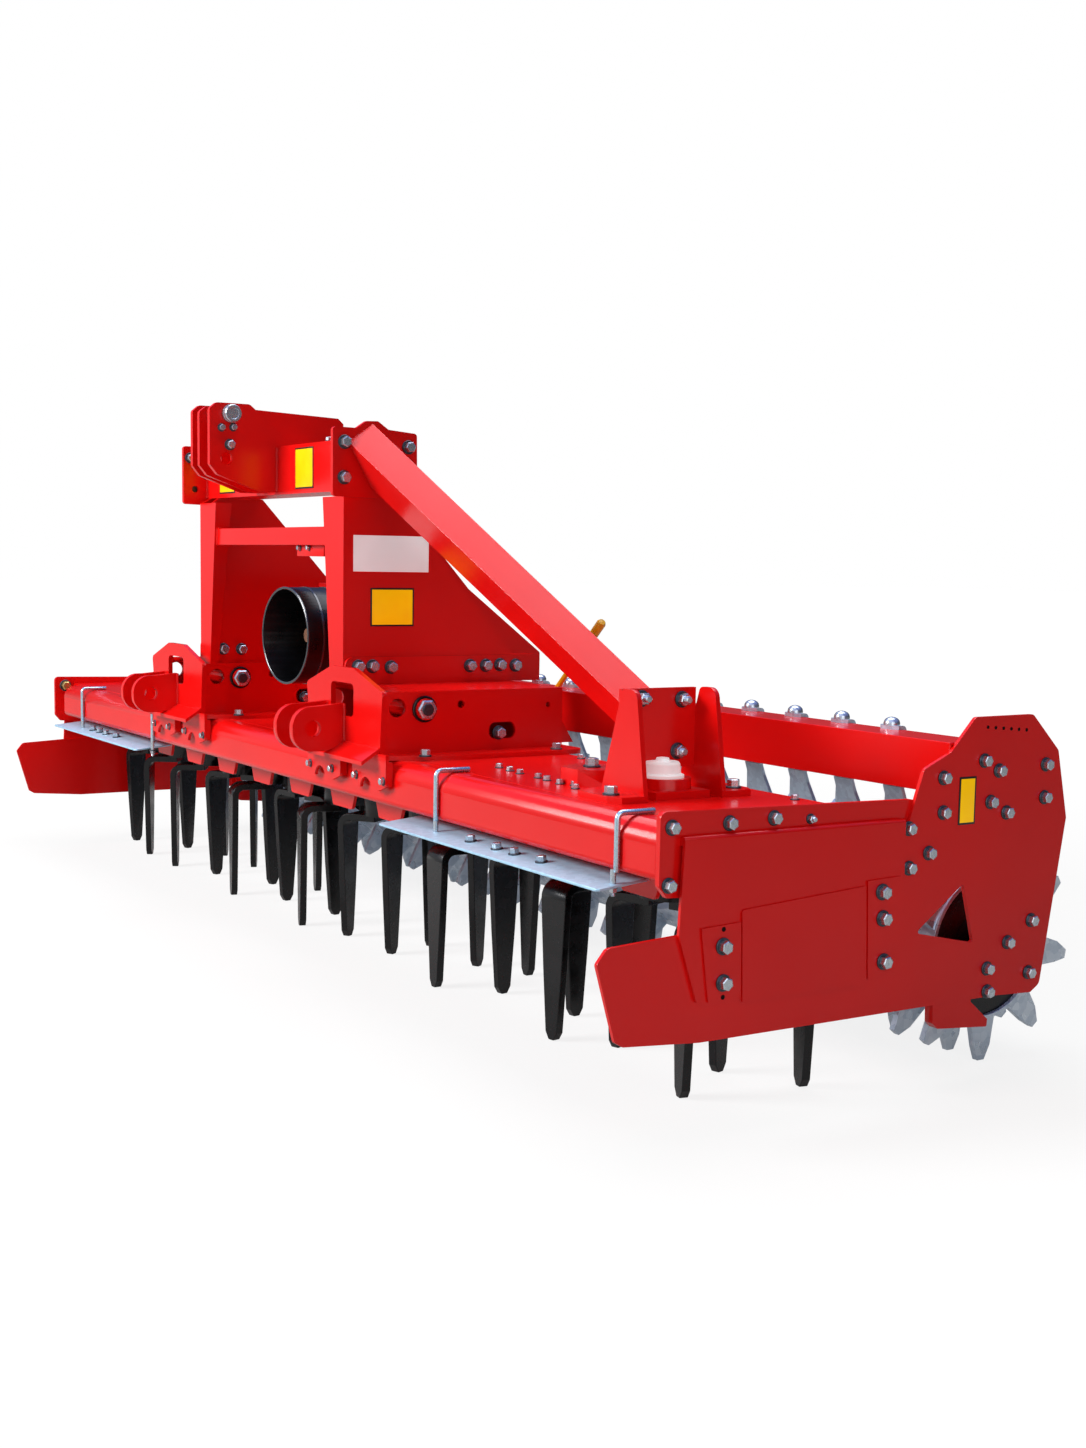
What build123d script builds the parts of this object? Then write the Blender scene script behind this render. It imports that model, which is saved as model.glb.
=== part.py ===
"""Power harrow, 3.5 m, with spiked packer roller, as an assembly of named parts.

Frame: millimetres. X runs across the machine (working width), -Y is the side
the tractor couples to, +Y is the roller side, Z is up and z = 0 is the ground
the tine tips and the roller teeth stand on.
"""
import os
from math import atan2, cos, degrees, pi, radians, sin, sqrt

from build123d import *

# ---------------------------------------------------------------- dimensions
# rotors and trough
ROTORS = 14                  # vertical rotors
PITCH = 250.0                # rotor spacing across the machine
ROTOR_Y = -165.0             # line of the rotor axes
# angle of each rotor's first tine from +X, left to right; neighbours mesh without touching
ROTOR_ANGLES = (24.0, 57.0, 60.0, 21.0, 78.0, 9.0, 75.0, 33.0, 30.0, 90.0, 9.0, 99.0, 18.0, 78.0)
END_ROOM = 160.0             # from the last rotor's axis to the outer face of an end plate
END_X = PITCH * (ROTORS - 1) / 2 + END_ROOM      # outer face of the trough end plates
END_T = 12.0                 # thickness of an end plate
TROUGH_FRONT = -425.0
TROUGH_REAR = -35.0
TROUGH_BOTTOM = 443.0
TROUGH_TOP = 549.0
TROUGH_WALL = 8.0
LID_T = 6.0
NECK_R, NECK_H = 82.0, 46.0          # bearing neck under each rotor
# front beam
BEAM_SHORT = 117.0           # the beam stops short of the left end by this
BEAM_X0, BEAM_X1 = BEAM_SHORT - END_X, END_X - END_T
BEAM_FRONT, BEAM_REAR = -487.0, -425.0
BEAM_BOTTOM, BEAM_TOP = 455.0, 555.0
BEAM_WALL = 8.0
BEAM_ROUND = 38.0
# rotor head and tines
SHAFT_R = 34.0
RUN_FIT = 0.05               # radial clearance of a shaft in its bearing
HUB_R, HUB_TOP, HUB_BOTTOM = 66.0, 391.0, 345.0
CLAMP_R, CLAMP_BOTTOM = 58.0, 318.0
TINE_R = 117.0               # radius to the inner face of a blade
TINE_T = 18.0                # blade thickness
TINE_W, TINE_MID_W, TINE_TIP_W = 76.0, 58.0, 36.0    # at the bend, at half height, at the tip
TINE_TOP = 334.0
# lower hitch
HITCH_X = 546.0              # centre of each window plate
EAR_X = (-88.0, 3.0)         # ear planes measured from the window plate centre
EAR_T = 18.0
EAR_HOLE = (-577.0, 613.0)   # y, z of the lower link bore
EAR_HOLE_R = 18.7
# tower and head
TOWER_IN, TOWER_OUT = 345.0, 461.0   # at the top of the front flange
TOWER_FOOT_IN = 390.0                # inner edge of the flange at its foot
TOWER_TOP = 1140.0
TOWER_FRONT = -458.0
INNER_X = 400.0              # inner cheek of a tower
HEAD_Z0, HEAD_Z1 = 1154.0, 1274.0
HEAD_Y0, HEAD_Y1 = -430.0, -310.0
HEAD_X = 478.0
LINK_X = (0.0, -70.0, -118.0)        # planes of the three top link plates
LINK_T = 14.0
LINK_PIN = (-554.0, 1349.0)
LINK_PIN_R = 15.9
# roller
ROLLER_Y, ROLLER_Z = 393.0, 240.0
DRUM_R = 152.0
DRUM_ROOM = 85.0             # from the end of the drum to the side plate
DRUM_END = END_X - DRUM_ROOM
TOOTH_R = 238.0
ROLLER_RINGS = 22
RING_PITCH = 152.6
END_RING_X = DRUM_END - 12.0 # extra ring at each end of the drum
RING_TEETH = 9
RING_PHASE = 30.0            # one tooth of every ring points straight down
# side plates
SIDE_X, SIDE_T = END_X, 8.0          # long side plate, from SIDE_X outwards
SHIELD_T = 7.0
# roller beam
RBEAM_Y0, RBEAM_Y1 = 180.0, 280.0
RBEAM_Z0, RBEAM_Z1 = 570.0, 670.0

PARTS = {}


# ------------------------------------------------------------------- helpers
def outline(pts, r=0.0, radii=None):
    """A flat face from corner points, all corners rounded by r or by index."""
    sk = make_face(Polyline(*[(p[0], p[1]) for p in pts], close=True))
    todo = {}
    for i, p in enumerate(pts):
        rad = (radii or {}).get(i, r)
        if rad > 0:
            todo.setdefault(rad, []).append(p)
    for rad, corners in todo.items():
        vs = [v for v in sk.vertices()
              if any(abs(v.X - c[0]) < 1e-4 and abs(v.Y - c[1]) < 1e-4 for c in corners)]
        sk = fillet(vs, rad)
    return sk


def cut_holes(sk, holes):
    """Round holes (u, v, r) cut in a face."""
    for u, v, r in holes:
        sk = sk - Pos(u, v) * Circle(r)
    return sk


def plate_yz(pts, x0, x1, r=0.0, radii=None, holes=(), cuts=()):
    """A plate lying in the YZ plane, between x0 and x1; points are (y, z)."""
    sk = cut_holes(outline(pts, r, radii), holes)
    for c in cuts:
        sk = sk - c
    return extrude(Plane(origin=(x0, 0, 0), x_dir=(0, 1, 0), z_dir=(1, 0, 0)) * sk, x1 - x0)


def plate_xz(pts, y0, y1, r=0.0, radii=None, holes=(), cuts=()):
    """A plate lying in the XZ plane, between y0 and y1; points are (x, z)."""
    sk = cut_holes(outline(pts, r, radii), holes)
    for c in cuts:
        sk = sk - c
    return extrude(Plane(origin=(0, y1, 0), x_dir=(1, 0, 0), z_dir=(0, -1, 0)) * sk, y1 - y0)


def plate_xy(pts, z0, z1, r=0.0, radii=None, holes=(), cuts=()):
    """A plate lying flat, between z0 and z1; points are (x, y)."""
    sk = cut_holes(outline(pts, r, radii), holes)
    for c in cuts:
        sk = sk - c
    return extrude(Plane.XY.offset(z0) * sk, z1 - z0)


def block(x0, x1, y0, y1, z0, z1):
    """A box between two corners."""
    return Pos((x0 + x1) / 2, (y0 + y1) / 2, (z0 + z1) / 2) * Box(x1 - x0, y1 - y0, z1 - z0)


def rod(p, axis, r, length):
    """A round bar from point p along +X, +Y or +Z."""
    plane = {"x": Plane(origin=p, x_dir=(0, 1, 0), z_dir=(1, 0, 0)),
             "y": Plane(origin=p, x_dir=(1, 0, 0), z_dir=(0, 1, 0)),
             "z": Plane(origin=p, x_dir=(1, 0, 0), z_dir=(0, 0, 1))}[axis]
    return extrude(plane * Circle(r), length)


def rect(u0, u1, v0, v1):
    """Corner list of a rectangle."""
    return [(u0, v0), (u1, v0), (u1, v1), (u0, v1)]


def window(u0, u1, v0, v1, r):
    """A rounded rectangular cut-out face."""
    return Pos((u0 + u1) / 2, (v0 + v1) / 2) * RectangleRounded(u1 - u0, v1 - v0, r)


def to_left(part):
    """The mirror image of a right hand part."""
    return mirror(part, about=Plane.YZ)


def put(name, part):
    """Keep a finished part under its name."""
    PARTS[name] = part


def rotor_x(i):
    """X of rotor i, counted from the left."""
    return (i - (ROTORS - 1) / 2) * PITCH


# -------------------------------------------------------------------- trough
def make_trough():
    """The long gear trough: a pan with a bearing neck under every rotor."""
    half = END_X - END_T
    pan = block(-half, half, TROUGH_FRONT, TROUGH_REAR, TROUGH_BOTTOM, TROUGH_TOP)
    pan -= block(-half + 6, half - 6, TROUGH_FRONT + TROUGH_WALL, TROUGH_REAR - TROUGH_WALL,
                 TROUGH_BOTTOM + TROUGH_WALL, TROUGH_TOP + 1)
    for i in range(ROTORS):
        x = rotor_x(i)
        pan += rod((x, ROTOR_Y, TROUGH_BOTTOM - NECK_H), "z", NECK_R, NECK_H + 1)
    for i in range(ROTORS):
        x = rotor_x(i)
        pan -= rod((x, ROTOR_Y, TROUGH_BOTTOM - NECK_H - 1), "z", SHAFT_R + RUN_FIT, NECK_H + TROUGH_WALL + 2)
    return pan


def make_lugs():
    """Bent lugs that brace the underside of the trough in front of each neck."""
    lugs = None
    for i in range(ROTORS):
        x = rotor_x(i)
        lug = plate_xz([(x - 70, TROUGH_BOTTOM), (x + 70, TROUGH_BOTTOM), (x + 52, 402), (x - 52, 402)],
                       -418, -410, radii={2: 8, 3: 8})
        lugs = lug if lugs is None else lugs + lug
    return lugs


def make_lid():
    """The lid plate with a low round cover over every second rotor."""
    half = END_X - END_T - 4
    lid = block(-half, half, TROUGH_FRONT + 2, TROUGH_REAR, TROUGH_TOP, TROUGH_TOP + LID_T)
    top = TROUGH_TOP + LID_T
    # stepped filler base and the bearing cover beside it
    lid += block(1404, 1530, -316, -190, top, top + 15)
    lid += rod((1467, -253, top + 14), "z", 52, 22)
    lid += extrude(Plane.XY.offset(top) * (Pos(1262, -285) * RegularPolygon(62, 6)), 34)
    return lid


def make_front_beam():
    """The rounded box beam along the front of the trough."""
    pts = [(BEAM_FRONT, BEAM_BOTTOM), (BEAM_REAR, BEAM_BOTTOM), (BEAM_REAR, BEAM_TOP), (BEAM_FRONT, BEAM_TOP)]
    w = BEAM_WALL
    inner = [(BEAM_FRONT + w, BEAM_BOTTOM + w), (BEAM_REAR - w, BEAM_BOTTOM + w),
             (BEAM_REAR - w, BEAM_TOP - w), (BEAM_FRONT + w, BEAM_TOP - w)]
    beam = plate_yz(pts, BEAM_X0, BEAM_X1, radii={0: 14, 3: BEAM_ROUND})
    return beam - plate_yz(inner, BEAM_X0 - 1, BEAM_X1 + 1, radii={0: 6, 3: BEAM_ROUND - w})


def make_end_plate():
    """The right trough end plate, reaching back to the long side plate."""
    pts = [(-487, 578), (-487, 448), (-470, 428), (-400, 424), (30, 424), (95, 470), (95, 567)]
    return plate_yz(pts, END_X - END_T, END_X, radii={0: 14, 1: 10, 4: 20, 5: 14, 6: 8})


# --------------------------------------------------------------- lower hitch
HITCH_TOP = 704.0            # top of the hitch box
HITCH_BASE = 566.0           # top of the foot plate
PLATE_Y0, PLATE_Y1 = -500.0, -488.0
SHELF_Y = -544.0             # front edge of the sloping shelf
SADDLE_Z = 488.0             # lower edge of the notched claws


def make_hitch(cx):
    """A lower hitch: box over the lid, window plate, foot plate and saddles."""
    x0, x1 = cx - 168, cx + 164
    out = plate_xz([(cx - 172, HITCH_BASE), (cx + 194, HITCH_BASE), (cx + 206, 706), (cx + 58, 751),
                    (cx - 58, 751), (cx - 196, 706)], PLATE_Y0, PLATE_Y1, radii={2: 12, 5: 12, 3: 8, 4: 8},
                   cuts=[window(cx - 60, cx + 60, 640, 716, 14)])
    holes = [(-442, 668, 21), (-280, 672, 9), (-48, 665, 6)]
    for a in (x0, x1 - 10):
        out += plate_yz(rect(PLATE_Y1, -8, HITCH_BASE, HITCH_TOP), a, a + 10, radii={2: 12},
                        holes=holes, cuts=[window(-206, -136, 590, 628, 16)])
    out += block(x0, x1, PLATE_Y1 + 40, -8, HITCH_TOP - 10, HITCH_TOP)
    out += block(x0, x1, -18, -8, HITCH_BASE, HITCH_TOP - 10)
    out += plate_xy([(cx - 190, -500), (cx + 194, -500), (cx + 240, -300), (cx + 240, 10), (cx - 190, 10)],
                    HITCH_BASE - 11, HITCH_BASE, radii={2: 30, 3: 30, 4: 20})
    # shelf folded forward from the window plate, sloping down
    out += plate_yz([(PLATE_Y0 + 1, 584), (SHELF_Y, 556), (SHELF_Y, 547), (PLATE_Y0 + 1, 575)], cx - 150, cx + 194)
    out += make_saddles(cx)
    # gusset behind the box
    out += plate_yz([(-10, 640), (20, 640), (66, 566), (-10, 566)], cx + 90, cx + 98, radii={1: 8})
    # big cross pin through both walls
    out += rod((x0 - 14, -375, 664), "x", 24, x1 - x0 + 28)
    return out


def make_saddles(cx):
    """Two notched claws that hang in front of the beam under the shelf."""
    out = None
    y0, y1 = PLATE_Y0 - 6, PLATE_Y0 + 2
    for x0, x1, notch in ((cx - 176, cx + 4, cx - 107), (cx + 68, cx + 236, cx + 137)):
        pts = [(x0, 572), (x1, 572), (x1, 502), (x1 - 44, SADDLE_Z), (notch + 44, SADDLE_Z + 6), (notch - 44, SADDLE_Z),
               (x0, SADDLE_Z + 2)]
        claw = plate_xz(pts, y0, y1, radii={2: 8, 3: 8, 4: 4, 5: 4, 6: 6})
        claw -= rod((notch, y0 - 1, SADDLE_Z - 4), "y", 30, y1 - y0 + 2)
        claw += block(x1 - 8, x1, y1 - 1, -489, 502, 556)
        out = claw if out is None else out + claw
    return out


def make_ears(cx):
    """The two ears that hold the lower link ball."""
    out = None
    y, z = EAR_HOLE
    for dx in EAR_X:
        pts = [(y - 50, z - 52), (y + 30, z - 52), (PLATE_Y0, z - 40), (PLATE_Y0, z + 56), (y + 10, z + 50),
               (y - 50, z + 50)]
        ear = plate_yz(pts, cx + dx - EAR_T / 2, cx + dx + EAR_T / 2, radii={0: 46, 5: 46},
                       holes=[(y, z, EAR_HOLE_R)])
        out = ear if out is None else out + ear
    return out


# --------------------------------------------------------------- tower, head
CROSS_Z0, CROSS_Z1 = 1027.0, 1071.0


def tower_in(z):
    """Inner edge of the tower's front flange at height z."""
    return TOWER_FOOT_IN + (TOWER_IN - TOWER_FOOT_IN) * (z - HITCH_TOP) / (TOWER_TOP - HITCH_TOP)


def make_tower():
    """The right tower: a folded channel whose web is the triangular cheek."""
    t = 10.0
    top, foot = TOWER_TOP, HITCH_TOP
    web = plate_yz([(TOWER_FRONT, foot), (64, foot), (64, 771), (0, 771), (-242, 1048), (-322, HEAD_Z0),
                    (TOWER_FRONT + 28, HEAD_Z0), (TOWER_FRONT, top)], TOWER_OUT - t, TOWER_OUT, radii={2: 10})
    flange = plate_xz([(TOWER_FOOT_IN, foot), (TOWER_OUT, foot), (TOWER_OUT, top), (TOWER_IN, top)],
                      TOWER_FRONT, TOWER_FRONT + t)
    # return strip folded back along the slanting inner edge, narrower at its foot
    ret = plate_xz([(TOWER_FOOT_IN, foot), (TOWER_FOOT_IN + t, foot), (TOWER_IN + t, top), (TOWER_IN, top)],
                   TOWER_FRONT, TOWER_FRONT + 60)
    ret = ret & plate_yz([(TOWER_FRONT, foot), (TOWER_FRONT + 24, foot), (TOWER_FRONT + 46, top), (TOWER_FRONT, top)],
                         TOWER_IN - 10, TOWER_OUT)
    # inner cheek, reaching further back at the foot
    inner = plate_yz([(TOWER_FRONT + t - 1, foot), (115, foot), (115, 769), (-93, 927), (-301, HEAD_Z0),
                      (TOWER_FRONT + 28, HEAD_Z0), (TOWER_FRONT + t - 1, top)],
                     INNER_X - 4, INNER_X + 4, radii={2: 6})
    tie = plate_yz([(-60, 720), (40, 720), (40, 728), (-60, 728)], INNER_X, TOWER_OUT - t + 1)
    return web + flange + ret + inner + tie


def make_tower_foot():
    """Upstand on the hitch box that the cheek is bolted to."""
    return plate_yz([(-456, HITCH_TOP), (74, HITCH_TOP), (74, 768), (-456, 768)],
                    TOWER_OUT, TOWER_OUT + 10, radii={2: 10, 3: 20})


def make_head_plate():
    """The right head plate that closes the head beam."""
    return plate_yz([(-499, 1138), (-377, 1135), (-282, 1150), (-284, 1288), (-358, 1294), (-385, 1312),
                     (-415, 1311), (-440, 1294), (-499, 1295)], HEAD_X, HEAD_X + 12, r=8,
                    holes=[(-465, 1259, 9), (-466, 1179, 9), (-302, 1254, 9)])


def make_head_beam():
    """Square head tube between the two head plates."""
    beam = block(-HEAD_X, HEAD_X, HEAD_Y0, HEAD_Y1, HEAD_Z0, HEAD_Z1)
    return beam - block(-HEAD_X - 1, HEAD_X + 1, HEAD_Y0 + 8, HEAD_Y1 - 8, HEAD_Z0 + 8, HEAD_Z1 - 8)


def make_link_plates():
    """The three top link plates, notched over the head tube; the middle one reaches back."""
    out = None
    py, pz = LINK_PIN
    nose = [(-609, 1223), (-589, 1199), (-477, 1160), (HEAD_Y0, 1160), (HEAD_Y0, HEAD_Z1)]
    short = nose + [(-346, HEAD_Z1), (-346, 1306), (-425, 1312), (-503, 1375), (-591, 1375), (-609, 1360)]
    long = nose + [(HEAD_Y1, HEAD_Z1), (HEAD_Y1, 1206), (-300, 1216), (-213, 1300), (-213, 1345), (-228, 1359),
                   (-500, 1370), (-591, 1370), (-609, 1355)]
    for x, pts in zip(LINK_X, (short, long, short)):
        n = len(pts)
        p = plate_yz(pts, x - LINK_T / 2, x + LINK_T / 2, radii={0: 8, 1: 8, n - 3: 14, n - 2: 12, n - 1: 10},
                     holes=[(py, pz, LINK_PIN_R), (-565, 1239, LINK_PIN_R)])
        out = p if out is None else out + p
    return out


def make_link_pin():
    """Top link pin kept through the two right plates, with a collar."""
    py, pz = LINK_PIN
    return (rod((LINK_X[1] - 20, py, pz), "x", LINK_PIN_R - 0.4, LINK_X[0] - LINK_X[1] + 46)
            + rod((LINK_X[0] + LINK_T / 2 + 0.5, py, pz), "x", 23, 10))


def make_cross_tube():
    """Square tube between the two towers, its ends cut to their slanting edges."""
    lo, hi = tower_in(CROSS_Z0), tower_in(CROSS_Z1)
    return plate_xz([(-lo, CROSS_Z0), (lo, CROSS_Z0), (hi, CROSS_Z1), (-hi, CROSS_Z1)], -450, -406)


# --------------------------------------------------------------------- brace
BRACE_TOP = (490.0, -400.8, 1232.5)      # axis at the head plate
BRACE_END = (1440.0, -225.9, 658.4)      # axis at the bracket
BRACE_TURN = -35.1                       # the tube is turned about its own axis, degrees
BRACE_W0, BRACE_H0 = 76.0, 103.0         # section at the head plate
BRACE_W1, BRACE_H1 = 65.5, 88.5          # section at the bracket
WEB_X0, WEB_X1 = 1436.0, 1446.0          # bracket web


def make_brace():
    """Slightly tapering tube from the head plate down to the bracket on the lid."""
    a, b = Vector(*BRACE_TOP), Vector(*BRACE_END)
    d = (b - a).normalized()
    side = d.cross(Vector(0, 0, 1)).normalized()
    up = side.cross(d)
    w = radians(BRACE_TURN)
    side = side * cos(w) + up * sin(w)
    solids = []
    for wall in (0.0, 12.0):
        ends = []
        for p, sw, sh in ((a - d * 60, BRACE_W0, BRACE_H0), (b + d * 60, BRACE_W1, BRACE_H1)):
            ends.append(Plane(origin=tuple(p), x_dir=tuple(side), z_dir=tuple(d)) * Rectangle(sw - wall, sh - wall))
        solids.append(loft(ends, ruled=True))
    tube = solids[0] - solids[1]
    return tube & block(HEAD_X + 12, WEB_X0, -900, 300, 500, 1600)


def make_bracket():
    """Bracket on the lid: two folded legs with the brace's web between them."""
    z0 = TROUGH_TOP + LID_T
    web = plate_yz([(-341, 606), (-167, 606), (-167, 760), (-341, 760)], WEB_X0, WEB_X1)
    out = web
    for y0, y1, foot_y in ((-350, -340, -414), (-168, -158, -85)):
        leg = plate_xz([(1392, z0), (1540, z0), (1508, 762), (1460, 762)], y0, y1, radii={2: 22, 3: 12})
        fy0, fy1 = min(foot_y, y0), max(foot_y, y1)
        foot = plate_xy([(1392, fy1), (1392, fy0 + (20 if foot_y < y0 else 0)), (1412, fy0), (1512, fy0), (1540, fy0 + 14),
                         (1540, fy1)] if foot_y < y0 else
                        [(1392, fy0), (1540, fy0), (1540, fy1 - 14), (1512, fy1), (1412, fy1), (1392, fy1 - 20)],
                        z0, z0 + 12)
        out = out + leg + foot
    return out


# ------------------------------------------------------------------ gear box
GB_X = 0.0
PTO_Z = 797.0
GUARD_R = 124.0
GUARD_Y0, GUARD_Y1 = -416.0, -250.0
MOUTH_SET = 21.0             # the mouth plane runs back by this much across the guard
SPLINE_R, INPUT_R = 17.45, 24.0      # input stub and the shaft behind it


def make_gearbox():
    """The reduction gear box, a plain block at its place over the middle rotors."""
    z0 = TROUGH_TOP + LID_T
    box = block(-135, 135, GUARD_Y1, 30, z0, 930)
    return box - rod((0, GUARD_Y1 - 1, PTO_Z), "y", INPUT_R + RUN_FIT, 60)


def make_guard():
    """Round guard tube around the input shaft, its mouth cut a little askew."""
    tube = (rod((0, GUARD_Y0 - 2, PTO_Z), "y", GUARD_R, GUARD_Y1 - GUARD_Y0 + 2)
            - rod((0, GUARD_Y0 - 3, PTO_Z), "y", GUARD_R - 4, GUARD_Y1 - GUARD_Y0 - 3)
            - rod((0, GUARD_Y0 - 3, PTO_Z), "y", 45, GUARD_Y1 - GUARD_Y0 + 4))
    return tube - plate_xy([(-GUARD_R - 1, GUARD_Y0), (GUARD_R + 1, GUARD_Y0 + MOUTH_SET), (GUARD_R + 1, GUARD_Y0 - 60),
                            (-GUARD_R - 1, GUARD_Y0 - 60)], PTO_Z - 200, PTO_Z + 200)


def make_input_shaft():
    """Splined input stub the drive shaft plugs on."""
    return (rod((0, -345, PTO_Z), "y", SPLINE_R, 100)
            + rod((0, -262, PTO_Z), "y", INPUT_R, 60))


# --------------------------------------------------- stone guards, side parts
GUARD_PLATES = {"right": (763.0, 1660.0), "left": (-1640.0, -745.0)}
HOOKS = {"right": (991.0, 1664.0), "left": (-1445.0, -767.0)}


def make_stone_guard(side):
    """Sloping zinc plate clamped under the front beam."""
    x0, x1 = GUARD_PLATES[side]
    pts = [(-442, BEAM_BOTTOM), (-486, BEAM_BOTTOM), (-535, 432), (-537, 426), (-486, 449), (-442, 449)]
    return plate_yz(pts, x0, x1)


def make_hooks(side):
    """Two bent clamp bars over the front beam."""
    out = []
    for x in HOOKS[side]:
        path = FilletPolyline((x, -493, 456), (x, -493, 561), (x, -415, 561), radius=12)
        out.append(sweep(Plane(origin=(x, -493, 456), z_dir=(0, 0, 1)) * Circle(5.5), path=path))
    return out


def make_side_plate():
    """The long right side plate from the nose to the roller."""
    pts = [(-617, 328), (-596, 354), (-453, 362), (-400, 362), (66, 440), (66, 497), (110, 623), (176, 652),
           (238, 717), (392, 718), (467, 645), (498, 509), (444, 177), (420, 162), (319, 167), (-399, 167),
           (-560, 180), (-577, 190)]
    tri = make_face(Polyline((223, 398), (103, 312), (256, 279), close=True))
    return plate_yz(pts, SIDE_X, SIDE_X + SIDE_T, radii={0: 8, 1: 14, 6: 10, 7: 10, 8: 12, 9: 12, 10: 12, 11: 12,
                                                        12: 16, 16: 6, 17: 6},
                    cuts=[fillet(tri.vertices(), 5)])


def make_shield():
    """Hanging side shield with a rolled top edge and its patch plate."""
    x0 = SIDE_X + SIDE_T
    x1 = x0 + SHIELD_T
    pts = [(-445, 520), (-453, 362), (-412, 241), (-395, 234), (66, 247), (62, 520)]
    out = plate_yz(pts, x0, x1, radii={2: 8})
    roll = plate_xz([(x1, 518), (x1, 534), (x0 - 8, 534), (x0 - 8, 518), (x0, 518), (x0, 526), (x1 - SHIELD_T, 526),
                     (x1 - SHIELD_T, 518)][:4], -445, 62, radii={1: 7, 2: 7})
    roll -= block(x0 - 1, x0, -446, 63, 517, 527)
    out += roll
    out += plate_yz([(-320, 397), (-34, 416), (-25, 229), (-314, 232)], x1, x1 + 4, radii={0: 6})
    out += plate_yz([(-30, 425), (57, 428), (66, 247), (-22, 240)], x1, x1 + 4, radii={1: 8, 2: 8})
    out += plate_yz([(-408, 372), (-322, 376), (-318, 240), (-390, 240)], x1, x1 + 4)
    return out


def make_skid():
    """Stop foot under the side plate."""
    return plate_yz([(164, 200), (166, 128), (179, 116), (311, 104), (312, 119), (265, 159), (262, 200)],
                    SIDE_X - 22, SIDE_X, radii={1: 4, 2: 4, 3: 3})


# -------------------------------------------------------------------- rotors
def make_rotor_head(i):
    """Rotor shaft flange with the clamp that carries two tines."""
    x = rotor_x(i)
    ang = rotor_angle(i)
    out = rod((x, ROTOR_Y, CLAMP_BOTTOM + 16), "z", HUB_R, HUB_TOP - CLAMP_BOTTOM - 16)
    out += rod((x, ROTOR_Y, HUB_TOP - 1), "z", SHAFT_R, TROUGH_BOTTOM + 4 - HUB_TOP + 1)
    return out


def rotor_angle(i):
    """Angle of rotor i's first tine at rest; neighbours turn against each other."""
    return ROTOR_ANGLES[i]


def make_tines(i):
    """Two L-bent knife tines of one rotor."""
    x = rotor_x(i)
    out = None
    for k in range(2):
        r0, r1 = TINE_R, TINE_R + TINE_T
        # side profile in the radial plane: short arm under the hub, then the blade
        prof = [(24, TINE_TOP - TINE_T), (r0, TINE_TOP - TINE_T), (r0, 0), (r1, 0), (r1, TINE_TOP), (24, TINE_TOP)]
        body = plate_xz(prof, -TINE_W / 2, TINE_W / 2, radii={1: 18, 4: 34})
        # taper of the blade seen along the radius
        half = [(TINE_TIP_W / 2 - 10, 0), (TINE_TIP_W / 2, 16), (TINE_MID_W / 2, 150), (TINE_W / 2, 290),
                (TINE_W / 2, TINE_TOP + 1)]
        keep = plate_yz([(-u, v) for u, v in reversed(half)] + half, 0, r1 + 1)
        body = body & keep
        body = Pos(x, ROTOR_Y, 0) * Rot(0, 0, rotor_angle(i) + 180 * k) * body
        out = body if out is None else out + body
    return out


# -------------------------------------------------------------------- roller
ROLLER_STUB = SIDE_X - 13.0  # outer end of the stub shafts
STUB_R = 25.0


def ring_x(k):
    """X of tooth ring k on the drum."""
    return (k - (ROLLER_RINGS - 1) / 2) * RING_PITCH


def all_rings():
    """X of every tooth ring, the two end rings included."""
    return [-END_RING_X] + [ring_x(k) for k in range(ROLLER_RINGS)] + [END_RING_X]


def make_tooth():
    """One packer tooth standing on the drum along +Y: a spike with a flattened tip."""
    pts = [(-34, DRUM_R - 8), (34, DRUM_R - 8), (24, TOOTH_R - 30), (9, TOOTH_R), (-9, TOOTH_R), (-20, TOOTH_R - 30)]
    return plate_yz([(p[1], p[0]) for p in pts], -7, 7)


def make_roller():
    """Packer drum with its rings of teeth."""
    drum = rod((-DRUM_END, ROLLER_Y, ROLLER_Z), "x", DRUM_R, 2 * DRUM_END)
    drum -= rod((-DRUM_END - 1, ROLLER_Y, ROLLER_Z), "x", DRUM_R - 8, 2 * DRUM_END + 2)
    tooth = make_tooth()
    teeth = []
    for x in all_rings():
        for j in range(RING_TEETH):
            ang = RING_PHASE + 360.0 * j / RING_TEETH
            teeth.append(Pos(x, ROLLER_Y, ROLLER_Z) * Rot(ang, 0, 0) * tooth)
    return drum.fuse(*teeth)


def make_roller_ends():
    """End disc and stub shaft of the roller, one at each end."""
    end = (rod((DRUM_END - 20, ROLLER_Y, ROLLER_Z), "x", DRUM_R - 8.2, 12)
           + rod((DRUM_END - 9, ROLLER_Y, ROLLER_Z), "x", STUB_R, ROLLER_STUB - DRUM_END + 9))
    return Compound(children=[end, to_left(end)])


def make_roller_beam():
    """Square tube over the roller between the side plates."""
    beam = block(-SIDE_X, SIDE_X, RBEAM_Y0, RBEAM_Y1, RBEAM_Z0, RBEAM_Z1)
    return beam - block(-SIDE_X - 1, SIDE_X + 1, RBEAM_Y0 + 6, RBEAM_Y1 - 6, RBEAM_Z0 + 6, RBEAM_Z1 - 6)


SCRAPER_T = 8.0
SCRAPER_BEND = 548.0         # height at which the strap turns in towards the drum
SCRAPER_GAP = 10.0           # scraping edge, measured from the drum to the middle of the blade
SCRAPER_LEAN = 109.8         # where the edge sits round the drum, degrees up from +Y


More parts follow.
